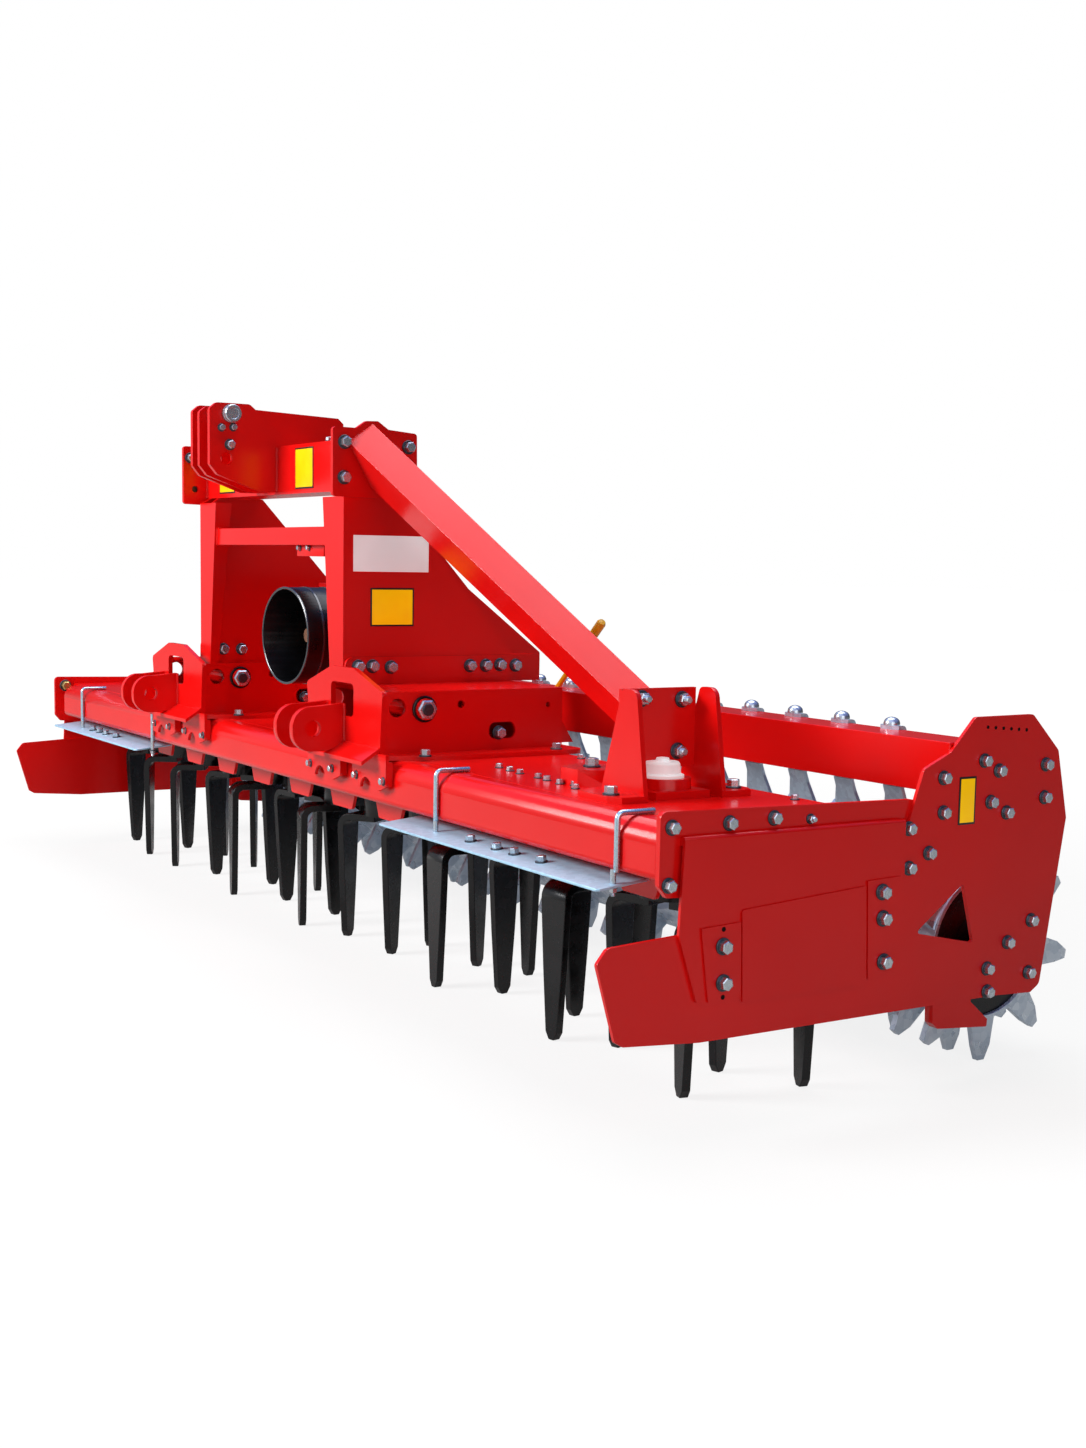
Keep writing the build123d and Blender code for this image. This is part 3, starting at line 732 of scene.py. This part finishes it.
@dataclass
class CarriedNodes:
    """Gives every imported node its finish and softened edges."""

    nodes: dict[str, bpy.types.Object]
    edge: float = 1.8
    thin_edge: float = 0.7
    sharp: float = 38.0
    weld_gap: float = 0.02
    thin: tuple[str, ...] = ("guard_hooks", "input_shaft", "top_link_pin", "pto_guard")

    def dress(self) -> None:
        """Give each node its one material, joined corners and soft edges."""
        for name, obj in self.nodes.items():
            finish = BLACK if name.startswith("rotor_") else NODE_FINISHES.get(name, RED)
            material = finish.material()
            obj.data.materials.clear()
            obj.data.materials.append(material)
            obj.data.polygons.foreach_set("material_index", [0] * len(obj.data.polygons))
            weld = obj.modifiers.new("joined_corners", "WELD")
            weld.merge_threshold = self.weld_gap * MM
            soft = obj.modifiers.new("softened_edges", "BEVEL")
            soft.width = (self.thin_edge if name in self.thin else self.edge) * MM
            soft.segments = 2
            soft.limit_method = "ANGLE"
            soft.angle_limit = math.radians(self.sharp)
            soft.harden_normals = True
            soft.use_clamp_overlap = True
            log.info("%s: %s", name, material.name)


@dataclass
class EndFasteners:
    """Bolts and small holes of the long side plates, the shields and the trough's ends."""

    patch_face: float = 1804.0
    plate: BoltRow = BoltRow(
        0, SIDE_FACE, 19.0,
        (
            (264, 633), (304, 612), (432, 618), (432, 553), (159, 605), (161, 539), (285, 552),
            (329, 529), (75, 514), (128, 464), (79, 439), (411, 309), (348, 271), (295, 224),
            (410, 204), (298, 178),
        ),
    )
    patch: BoltRow = BoltRow(0, patch_face, 21.0, ((5, 402), (9, 352), (14, 270), (-361, 337), (-359, 272)))
    trough: BoltRow = BoltRow(0, END_FACE, 19.0, ((-463, 550), (-468, 450), (-340, 550), (-241, 553)))
    cover: BoltRow = BoltRow(0, END_FACE, 13.0, ((-157, 546),), shank=5.0)
    inner: BoltRow = BoltRow(0, 1773.0, 26.0, ((-452, 548),), way=-1)
    holes: tuple[tuple[float, float, tuple[Pair, ...]], ...] = (
        (3.6, SIDE_FACE, tuple((270 + 21.0 * k, 697 - 1.8 * k) for k in range(6))),
        (4.5, patch_face, ((-360, 367), (-358, 246))),
        (6.0, END_FACE, ((-231, 550),)),
    )

    def build(self) -> None:
        """Make the bolts of both ends; the left end mirrors the right."""
        bolts = BoltSet(MeshMaker("side_plate_bolts", BOLT))
        drilled = MeshMaker("drilled_holes", HOLE)
        yellow = BoltSet(MeshMaker("yellow_end_bolts", YELLOW_ZINC))
        for side in SIDES:
            for row in (self.plate, self.patch, self.trough, self.cover):
                bolts.row(row, side)
            for radius, face, spots in self.holes:
                for y, z in spots:
                    turn = aim((side * face, y, z), (side, 0, 0))
                    drilled.lathe([(radius, -1.0), (radius, 0.25)], turn, 12)
            yellow.row(self.inner, -side)
        bolts.finish()
        drilled.finish_piece()
        yellow.finish()


@dataclass
class HitchFasteners:
    """Bolts and pins of the lower hitches, the towers and the head."""

    upstand: BoltRow = BoltRow(
        0, 471.0, 22.0, ((-424, 746), (-387, 746), (-339, 743), (-125, 743), (-81, 743), (-41, 744), (3, 742))
    )
    cheek: BoltRow = BoltRow(0, 396.0, 22.0, ((-365, 742), (-418, 743)), way=-1)
    head: BoltRow = BoltRow(0, 490.0, 22.0, ((-470, 1261), (-471, 1181), (-307, 1256)))
    head_inside: BoltRow = BoltRow(0, HEAD_X, 20.0, ((-480, 1263),), way=-1)
    head_top: BoltRow = BoltRow(2, HEAD_TOP, 13.0, ((297, -420),))
    pin_lock: BoltRow = BoltRow(0, LINK_HALF, 14.0, ((-578, 1314), (-547, 1316)))
    link_bolt: BoltRow = BoltRow(0, LINK_HALF, 19.0, ((-556, 1273),))
    box: BoltRow = BoltRow(0, BOX_FACE, 22.0, ((-181, 604),))
    foot: BoltRow = BoltRow(2, 566.0, 19.0, ((231, -406), (104, -58), (220, -58)))
    saddle: BoltRow = BoltRow(1, -506.0, 13.0, ((-161, 514), (-40, 514), (89, 514), (225, 514)), way=-1)
    pin_end: Point = (17.5, -554.0, 1349.0)
    cross_pin: Pair = (-375.0, 664.0)
    pin_nut: Point = (41.0, 5.0, 20.0)  # flats, foot and top
    window_face: float = -168.0

    def towers(self, bolts: BoltSet) -> None:
        """Add the bolts of the upstands, the cheeks and the head plates."""
        for side in SIDES:
            bolts.row(self.upstand, side)
            bolts.row(self.cheek, -side)
            bolts.row(self.head, side)
            bolts.row(self.head_inside, -side)
        bolts.row(self.head_top)

    def link(self, bolts: BoltSet) -> None:
        """Add the collar of the top link pin, its lock's bolts and the plates' bolt."""
        collar = [(13, 0), (22, 0), (22, 9), (20, 12), (15, 12), (13, 9)]
        bolts.maker.lathe(collar, aim(self.pin_end, (1, 0, 0)), 28, ring=True)
        bolts.row(self.pin_lock)
        bolts.row(self.link_bolt)

    def build(self) -> None:
        """Make both hitches' fasteners and those above them."""
        bolts = BoltSet(MeshMaker("hitch_bolts", BOLT))
        collars = MeshMaker("cross_pin_nuts", BLACK)
        # the pin ends take the same darker zinc: painted shade
        ends = MeshMaker("cross_pin_ends", ZINC_IN_PAINTED_SHADE)
        self.towers(bolts)
        self.link(bolts)
        for cx in (HITCH_X, -HITCH_X):
            for face, way in ((BOX_FACE, 1), (self.window_face, -1)):
                turn = aim((cx + face, *self.cross_pin), (way, 0, 0))
                collars.lathe([(30, -1), (30, 5), (28, 6)], turn, 32)
                bolts.hexagon(*self.pin_nut, turn)
                ends.lathe([(14, 19), (14, 21.5), (12, 23)], turn, 24)
            for row in (self.box, self.foot, self.saddle):
                bolts.row(row, shift=cx)
        bolts.finish()
        collars.finish_piece(CRISP)
        ends.finish_piece(CRISP)


@dataclass
class LidFasteners:
    """Small bolts round the gear trough's lid and its covers."""

    around_boss: BoltRow = BoltRow(
        2, LID_TOP, 13.0,
        (
            (953, -320), (1011, -327), (1062, -333), (1140, -336), (1181, -340), (1241, -347), (1275, -334),
            (1316, -358), (1253, -274), (1331, -281),
        ),
    )
    boss: BoltRow = BoltRow(2, LID_TOP + 34, 24.0, ((1262, -285),))
    rear_edge: BoltRow = BoltRow(
        2, LID_TOP, 13.0, tuple(((k - (ROTORS - 1) / 2) * PITCH, -60) for k in range(ROTORS))
    )

    def build(self) -> None:
        """Make the cover's bolts, the boss bolt and one bolt behind every rotor."""
        bolts = BoltSet(MeshMaker("lid_bolts", BOLT))
        for row in (self.around_boss, self.boss, self.rear_edge):
            bolts.row(row)
        bolts.finish()


@dataclass(frozen=True)
class GuardSheet:
    """One stone guard: its two ends, its heads and the clamp hooks that hold it."""

    x0: float
    x1: float
    heads: tuple[float, ...]
    hooks: tuple[float, ...]


@dataclass
class StoneGuards:
    """The two zinc sheets hung under the front beam, their heads and their hook nuts."""

    sheets: tuple[GuardSheet, ...] = (
        GuardSheet(806.0, 1668.0, (1135.0, 1240.0, 1308.0, 1408.0), (991.0, 1654.0)),
        GuardSheet(-1622.0, -796.0, (-1345.0, -1272.0, -1208.0, -1109.0), (-1445.0, -767.0)),
    )
    front: float = -536.0
    back: float = -424.0
    low: float = 424.0
    high: float = 435.0
    gauge: float = 5.0
    corner: float = 6.0
    rolled: float = 1.2
    head_y: float = -490.0
    head_flats: float = 17.0
    hook_y: float = -493.0
    hook_r: float = 5.5
    hook_foot: float = 14.0
    hook_top: float = 460.0

    def top_at(self, y: float) -> float:
        """Return the height of the sheet's upper face at a depth."""
        return self.low + (self.high - self.low) * (y - self.front) / (self.back - self.front) + self.gauge

    def sheet(self, maker: MeshMaker, x0: float, x1: float) -> None:
        """Add one sheet with its front corners cut.

        Args:
            maker: Where it goes.
            x0: Its left end.
            x1: Its right end.
        """
        cut, front = self.corner, self.front
        plan = [
            (x0 + cut, front), (x1 - cut, front), (x1, front + cut), (x1, self.back), (x0, self.back),
            (x0, front + cut),
        ]
        count = len(plan)
        verts = [Vector((x, y, self.top_at(y) - self.gauge)) for x, y in plan]
        verts += [Vector((x, y, self.top_at(y))) for x, y in plan]
        faces = [list(range(count))[::-1], list(range(count, 2 * count))]
        faces += [[k, (k + 1) % count, (k + 1) % count + count, k + count] for k in range(count)]
        maker.add(verts, faces, Matrix.Identity(4))

    def build(self) -> None:
        """Make the sheets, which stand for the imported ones, and what holds them."""
        maker = MeshMaker("stone_guard_sheets", ZINC_SHEET)
        bolts = BoltSet(MeshMaker("stone_guard_bolts", BOLT))
        for sheet in self.sheets:
            self.sheet(maker, sheet.x0, sheet.x1)
            for x in sheet.heads:
                bolts.bolt((x, self.head_y, self.top_at(self.head_y)), (0, -0.1, 0.995), self.head_flats)
        # each clamp hook's lower end goes through the sheet and holds a nut under it
        top = self.top_at(self.hook_y)
        rod = [(self.hook_r, top - self.hook_foot), (self.hook_r, self.hook_top)]
        for sheet in self.sheets:
            for x in sheet.hooks:
                bolts.maker.lathe(rod, aim((x, self.hook_y, 0), (0, 0, 1)), 14)
                bolts.bolt((x, self.hook_y, top - self.gauge), (0, 0, -1), 13, 6)
        obj = maker.finish_piece()
        edge = obj.modifiers.new("rolled_edges", "BEVEL")
        edge.width = self.rolled * MM
        edge.segments = 2
        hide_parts("stone_guards")
        bolts.finish()


@dataclass
class ScraperFasteners:
    """A cup head bolt on top of the rear beam for every scraper."""

    count: int = 21
    pitch: float = 152.6
    depth: float = 272.0
    top: float = 679.0

    def build(self) -> None:
        """Make the row of heads, one in the middle of each scraper's hook."""
        heads = MeshMaker("scraper_cup_heads", BOLT)
        dome = [(17.0, -1.0), (17.0, 3.0), (15.5, 8.0), (12.0, 12.0), (7.0, 14.5), (2.0, 15.5)]
        for k in range(self.count):
            x = (k - (self.count - 1) / 2) * self.pitch
            heads.lathe(dome, aim((x, self.depth, self.top), (0, 0, 1)), 20)
        heads.finish_piece(ROUND)


@dataclass
class DriveGuardTrim:
    """Rolled rim and seams of the drive shaft guard."""

    radius: float = 122.0
    wall: float = 3.0
    skew: float = 21.0
    mouth: float = -405.5
    seams: tuple[float, ...] = (-352.0, -300.0)
    sides: int = 72

    def build(self) -> None:
        """Make the rim in the guard's own slanting mouth plane, and the seams behind it."""
        # the rim and seams are pale: painted highlight on the black guard
        trim = MeshMaker("guard_rim", RIM_PAINTED_HIGHLIGHT)
        r = self.radius
        slant = (self.skew, -2 * (r + self.wall), 0)
        rim = [(r - 2, -3), (r + 3, -3), (r + 3, 0), (r + 1, 1.5), (r - 1, 1.5), (r - 3, 0)]
        trim.lathe(rim, aim((0, self.mouth, DRIVE_Z), slant), self.sides, ring=True)
        seam = [(r, -3), (r + 3.5, -2.4), (r + 3.5, 2.4), (r, 3)]
        for y in self.seams:
            trim.lathe(seam, aim((0, y, DRIVE_Z), (0, -1, 0)), self.sides, ring=True)
        trim.finish_piece(ROUND)


@dataclass
class Welds:
    """Weld beads that show from a step away."""

    plate_z: Pair = (1162.0, 1272.0)
    head_z: Pair = (1156.0, 1272.0)
    tube: tuple[Point, ...] = (
        (356.5, -450.0, 1027.0), (352.5, -450.0, 1071.0), (352.5, -406.0, 1071.0), (356.5, -406.0, 1027.0)
    )
    ear_faces: tuple[float, ...] = (-97.0, -79.0, -6.0, 12.0)
    ear_y: float = -500.0
    ear_z: Pair = (574.0, 668.0)
    foot_x: Pair = (-148.0, 192.0)
    foot: Pair = (-501.0, 581.0)

    def build(self) -> None:
        """Lay the beads of link plates, cross tube, head plates, lower ears and hitch feet."""
        welds = WeldSet(MeshMaker("weld_beads", RED))
        for x in LINK_PLANES:
            for face in (x - LINK_HALF, x + LINK_HALF):
                welds.bead((face, HEAD_FRONT, self.plate_z[0]), (face, HEAD_FRONT, self.plate_z[1]), 5)
        for side in SIDES:
            welds.loop([(side * x, y, z) for x, y, z in self.tube])
            end = side * HEAD_X
            welds.bead((end, HEAD_FRONT, self.head_z[0]), (end, HEAD_FRONT, self.head_z[1]))
        for cx in (HITCH_X, -HITCH_X):
            for face in self.ear_faces:
                x = cx + face
                welds.bead((x, self.ear_y, self.ear_z[0]), (x, self.ear_y, self.ear_z[1]))
            welds.bead((cx + self.foot_x[0], *self.foot), (cx + self.foot_x[1], *self.foot), 4)
        welds.maker.finish_piece(RIPPLED)


@dataclass
class BracketFasteners:
    """Bolts of the brace's bracket and of the cable tab on the cross tube."""

    web: BoltRow = BoltRow(0, 1446.0, 22.0, ((-296, 741), (-201, 737), (-209, 637)), shank=9.0)
    feet: BoltRow = BoltRow(2, 567.0, 22.0, ((1493, -393), (1506, -116)))
    tab: BoltRow = BoltRow(1, -434.0, 11.0, ((160, 1021), (215, 1021)), way=-1)

    def build(self) -> None:
        """Make the bolts through the web and the two feet, and those of the tab."""
        bolts = BoltSet(MeshMaker("bracket_bolts", BOLT))
        for row in (self.web, self.feet, self.tab):
            bolts.row(row)
        bolts.finish()


@dataclass
class SmallFittings:
    """The cable tab, the filler cap and the yellow hand lever."""

    tab_low: Point = (141.0, -434.0, 1000.0)
    tab_high: Point = (300.0, -428.0, 1028.0)
    cap_at: Point = (1466.0, -257.0, 591.0)
    lever_foot: Point = (341.0, 205.0, 668.0)
    lever_end: Point = (559.0, 200.0, 851.0)

    def tab(self) -> None:
        """Make the tab that holds cables beside the cross tube."""
        maker = MeshMaker("cable_tab", RED)
        maker.box(self.tab_low, self.tab_high, 1.5)
        maker.finish_piece()

    def cap(self) -> None:
        """Make the stepped oil filler cap on its boss."""
        # the cap takes the white film, whose weak glow is painted light
        maker = MeshMaker("filler_cap", WHITE_FILM)
        steps = [(42, 0), (42, 5), (36, 8), (34, 26), (31, 30), (14, 31), (12, 37), (6, 38)]
        maker.lathe(steps, aim(self.cap_at, (0, 0, 1)), 36)
        maker.finish_piece(TURNED)

    def lever(self) -> None:
        """Make the hand lever: a thin rod with a thicker grip at its end."""
        maker = MeshMaker("yellow_lever", YELLOW_CAP)
        way = Vector(self.lever_end) - Vector(self.lever_foot)
        long = way.length
        rod = [(7, 0), (7, long * 0.55), (11.5, long * 0.56), (12, long - 6), (9, long), (2, long + 1)]
        maker.lathe(rod, aim(self.lever_foot, tuple(way)), 24)
        maker.finish_piece(TURNED)

    def build(self) -> None:
        """Make all three."""
        self.tab()
        self.cap()
        self.lever()


@dataclass(frozen=True)
class Film:
    """One blank film: its two far corners and the axis it faces along."""

    lo: Point
    hi: Point
    axis: int


@dataclass
class BlankPlates:
    """Blank plates and films where a maker would fix signs."""

    border: float = 4.0
    proud: float = 0.5
    plate: Film = Film((461.0, -433.0, 967.0), (463.0, -236.0, 1051.0), 0)
    films: tuple[Film, ...] = (
        Film((461.0, -388.0, 839.0), (462.0, -274.0, 929.0), 0),
        Film((1793.0, 201.0, 512.0), (1794.0, 245.0, 604.0), 0),
        Film((122.0, -431.0, 1165.0), (230.0, -430.0, 1265.0), 1),
        Film((-385.0, -431.0, 1165.0), (-277.0, -430.0, 1265.0), 1),
    )

    def film(self, maker: MeshMaker, edge: MeshMaker, film: Film) -> None:
        """Add one film on its thin dark border.

        Args:
            maker: Where the film goes.
            edge: Where the border goes.
            film: The film with its border.
        """
        edge.box(film.lo, film.hi, 0.3)
        inset = [-self.proud if k == film.axis else self.border for k in range(3)]
        low = tuple(a + cut for a, cut in zip(film.lo, inset))
        high = tuple(a - cut for a, cut in zip(film.hi, inset))
        maker.box(low, high, 0.2)

    def build(self) -> None:
        """Make the white plate, the yellow films and their thin borders."""
        white = MeshMaker("blank_white_plate", WHITE_FILM)
        white.box(self.plate.lo, self.plate.hi, 0.6)
        white.finish_piece()
        yellow = MeshMaker("blank_yellow_films", YELLOW_FILM)
        edge = MeshMaker("film_borders", DARK_EDGE)
        for film in self.films:
            self.film(yellow, edge, film)
        yellow.finish_piece()
        edge.finish_piece()


# ---- camera and light
@dataclass(frozen=True)
class Lamp:
    """One soft square lamp: its name, place, target, side in metres and watts."""

    name: str
    at: Point
    target: Point
    size: float
    power: float

    def light(self) -> None:
        """Hang the lamp."""
        data = bpy.data.lights.new(self.name, "AREA")
        data.shape = "SQUARE"
        data.size = self.size
        data.energy = self.power
        lamp = bpy.data.objects.new(self.name, data)
        way = Vector(self.target) - Vector(self.at)
        turn = way.to_track_quat("-Z", "Y").to_matrix().to_4x4()
        lamp.matrix_world = Matrix.Translation(Vector(self.at)) @ turn
        bpy.context.scene.collection.objects.link(lamp)


@dataclass
class Studio:
    """Camera, soft lamps, pale floor and white surroundings."""

    eye: Point = (4.185, -2.208, 0.998)
    azimuth: float = 58.267
    pitch: float = -6.473
    roll: float = 0.965
    lens: float = 43.583
    sensor: float = 36.0
    shift_y: float = 0.0249
    lamps: tuple[Lamp, ...] = (
        Lamp("key_from_tractor_side", (-1.1, -5.5, 3.6), (0.0, 0.0, 0.6), 2.6, 410.0),
        Lamp("fill_from_end", (4.2, -0.9, 1.3), (1.6, 0.0, 0.45), 2.2, 22.0),
        Lamp("top_soft", (0.0, 0.6, 5.0), (0.0, 0.0, 0.5), 4.0, 185.0),
    )
    ambient: float = 0.07
    room_front: float = 0.9
    room_side: float = 0.07
    room_top: float = 0.7
    room_tint: str = "#F0F4FF"
    sky_tint: str = "#7F9EFF"
    floor_half: float = 60.0
    floor_bounce: float = 0.45
    floor_shade: float = 0.16
    floor_mirror: float = 0.35
    floor_near: float = 0.84
    floor_far: float = 1.0

    def camera(self) -> None:
        """Place the camera."""
        a, e, r = (math.radians(v) for v in (self.azimuth, self.pitch, self.roll))
        look = Vector((-math.sin(a) * math.cos(e), math.cos(a) * math.cos(e), math.sin(e)))
        level = Vector((math.cos(a), math.sin(a), 0.0))
        plumb = level.cross(look)
        right = level * math.cos(r) + plumb * math.sin(r)
        up = plumb * math.cos(r) - level * math.sin(r)
        turn = Matrix((right, up, -look)).transposed().to_4x4()
        data = bpy.data.cameras.new("camera")
        data.sensor_fit = "VERTICAL"
        data.sensor_height = self.sensor
        data.lens = self.lens
        data.shift_y = self.shift_y
        data.clip_end = 200.0
        cam = bpy.data.objects.new("camera", data)
        cam.matrix_world = Matrix.Translation(Vector(self.eye)) @ turn
        bpy.context.scene.collection.objects.link(cam)
        bpy.context.scene.camera = cam

    def seen_by_eye(self, tree: Tree, path: Node) -> Socket:
        """Return 1 for rays that the eye sees, straight or through glass.

        Args:
            tree: The node tree.
            path: Its light path node.

        Returns:
            The socket with that number.
        """
        rays = {0: path.outputs["Is Camera Ray"], 1: path.outputs["Is Transmission Ray"]}
        return add_node(tree, "ShaderNodeMath", links=rays, operation="MAXIMUM").outputs[0]

    def surroundings(self) -> None:
        """White to the eye; to the object a dim room, bright ahead and blue above."""
        world = bpy.data.worlds.new("studio")
        bpy.context.scene.world = world
        tree = empty_tree(world)
        path = add_node(tree, "ShaderNodeLightPath")
        soft = add_node(tree, "ShaderNodeBackground", {"Color": grey(1.0), "Strength": self.ambient})
        way = add_node(tree, "ShaderNodeTexCoord").outputs["Generated"]
        share = add_node(tree, "ShaderNodeSeparateXYZ", links={0: way})
        # what gloss and bare metal mirror: each part changes along one axis of the direction
        room = add_node(tree, "ShaderNodeAddShader")
        parts = (
            ("Y", (-0.9, 0.3), (self.room_front, self.room_side), self.room_tint),
            ("Z", (0.1, 0.85), (0.0, self.room_top), self.sky_tint),
        )
        for k, (axis, span, levels, tint) in enumerate(parts):
            level = add_node(
                tree,
                "ShaderNodeMapRange",
                dict(zip(("From Min", "From Max", "To Min", "To Max"), (*span, *levels))),
                {0: share.outputs[axis]},
                interpolation_type="SMOOTHSTEP",
            )
            wall = add_node(
                tree, "ShaderNodeBackground", {"Color": linear(tint)}, {"Strength": level.outputs[0]}
            )
            tree.links.new(wall.outputs[0], room.inputs[k])
        white = add_node(tree, "ShaderNodeBackground", {"Color": grey(1.0), "Strength": 1.0})
        unseen = add_node(
            tree,
            "ShaderNodeMixShader",
            links={0: path.outputs["Is Glossy Ray"], 1: soft.outputs[0], 2: room.outputs[0]},
        )
        last = add_node(
            tree,
            "ShaderNodeMixShader",
            links={0: self.seen_by_eye(tree, path), 1: unseen.outputs[0], 2: white.outputs[0]},
        )
        add_node(tree, "ShaderNodeOutputWorld", links={"Surface": last.outputs[0]})

    def lit_floor(self, tree: Tree) -> Socket:
        """Add the floor that the eye sees: white that only the machine's shadow dulls.

        Args:
            tree: The floor material's node tree.

        Returns:
            The shader socket.
        """
        pale = add_node(tree, "ShaderNodeBsdfDiffuse", {"Color": grey(self.floor_shade)})
        far = add_node(tree, "ShaderNodeVectorMath", links={0: place(tree)}, operation="LENGTH")
        level = add_node(
            tree,
            "ShaderNodeMapRange",
            {"From Min": 2.2, "From Max": 6.0, "To Min": self.floor_near, "To Max": self.floor_far},
            {0: far.outputs["Value"]},
        )
        glow = add_node(tree, "ShaderNodeEmission", {"Color": grey(1.0)}, {"Strength": level.outputs[0]})
        both = add_node(
            tree, "ShaderNodeAddShader", links={0: pale.outputs["BSDF"], 1: glow.outputs["Emission"]}
        )
        return both.outputs[0]

    def floor_material(self) -> bpy.types.Material:
        """Return the floor's material: lit to the eye, plain and pale to light that bounces."""
        made = bpy.data.materials.new("pale_studio_floor")
        tree = empty_tree(made)
        plain = add_node(
            tree,
            "ShaderNodeBsdfPrincipled",
            {"Base Color": grey(self.floor_bounce), "Roughness": 0.9, "Specular IOR Level": 0.0},
        )
        path = add_node(tree, "ShaderNodeLightPath")
        mirrored = add_node(
            tree,
            "ShaderNodeMath",
            {1: self.floor_mirror},
            {0: path.outputs["Is Glossy Ray"]},
            operation="MULTIPLY",
        )
        share = add_node(
            tree,
            "ShaderNodeMath",
            links={0: self.seen_by_eye(tree, path), 1: mirrored.outputs[0]},
            operation="MAXIMUM",
        )
        seen = add_node(
            tree,
            "ShaderNodeMixShader",
            links={0: share.outputs[0], 1: plain.outputs["BSDF"], 2: self.lit_floor(tree)},
        )
        add_node(tree, "ShaderNodeOutputMaterial", links={"Surface": seen.outputs[0]})
        return made

    def floor(self) -> None:
        """A plain pale floor that shows only the machine's soft shadow."""
        mesh = bpy.data.meshes.new("studio_floor")
        s = self.floor_half
        mesh.from_pydata([(-s, -s, 0), (s, -s, 0), (s, s, 0), (-s, s, 0)], [], [[0, 1, 2, 3]])
        mesh.materials.append(self.floor_material())
        obj = bpy.data.objects.new("studio_floor", mesh)
        obj.location.z = -MM
        bpy.context.scene.collection.objects.link(obj)

    def build(self) -> None:
        """Set the view settings and place camera, lamps, surroundings and floor."""
        bpy.context.scene.view_settings.view_transform = "Standard"
        self.camera()
        for lamp in self.lamps:
            lamp.light()
        self.surroundings()
        self.floor()


def main() -> None:
    logging.basicConfig(level=logging.INFO, format="%(name)s: %(message)s")
    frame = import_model()
    Studio().build()
    CarriedNodes(frame["nodes"]).dress()
    EndFasteners().build()
    HitchFasteners().build()
    LidFasteners().build()
    StoneGuards().build()
    ScraperFasteners().build()
    DriveGuardTrim().build()
    Welds().build()
    BracketFasteners().build()
    SmallFittings().build()
    BlankPlates().build()


if __name__ == "__main__":
    main()
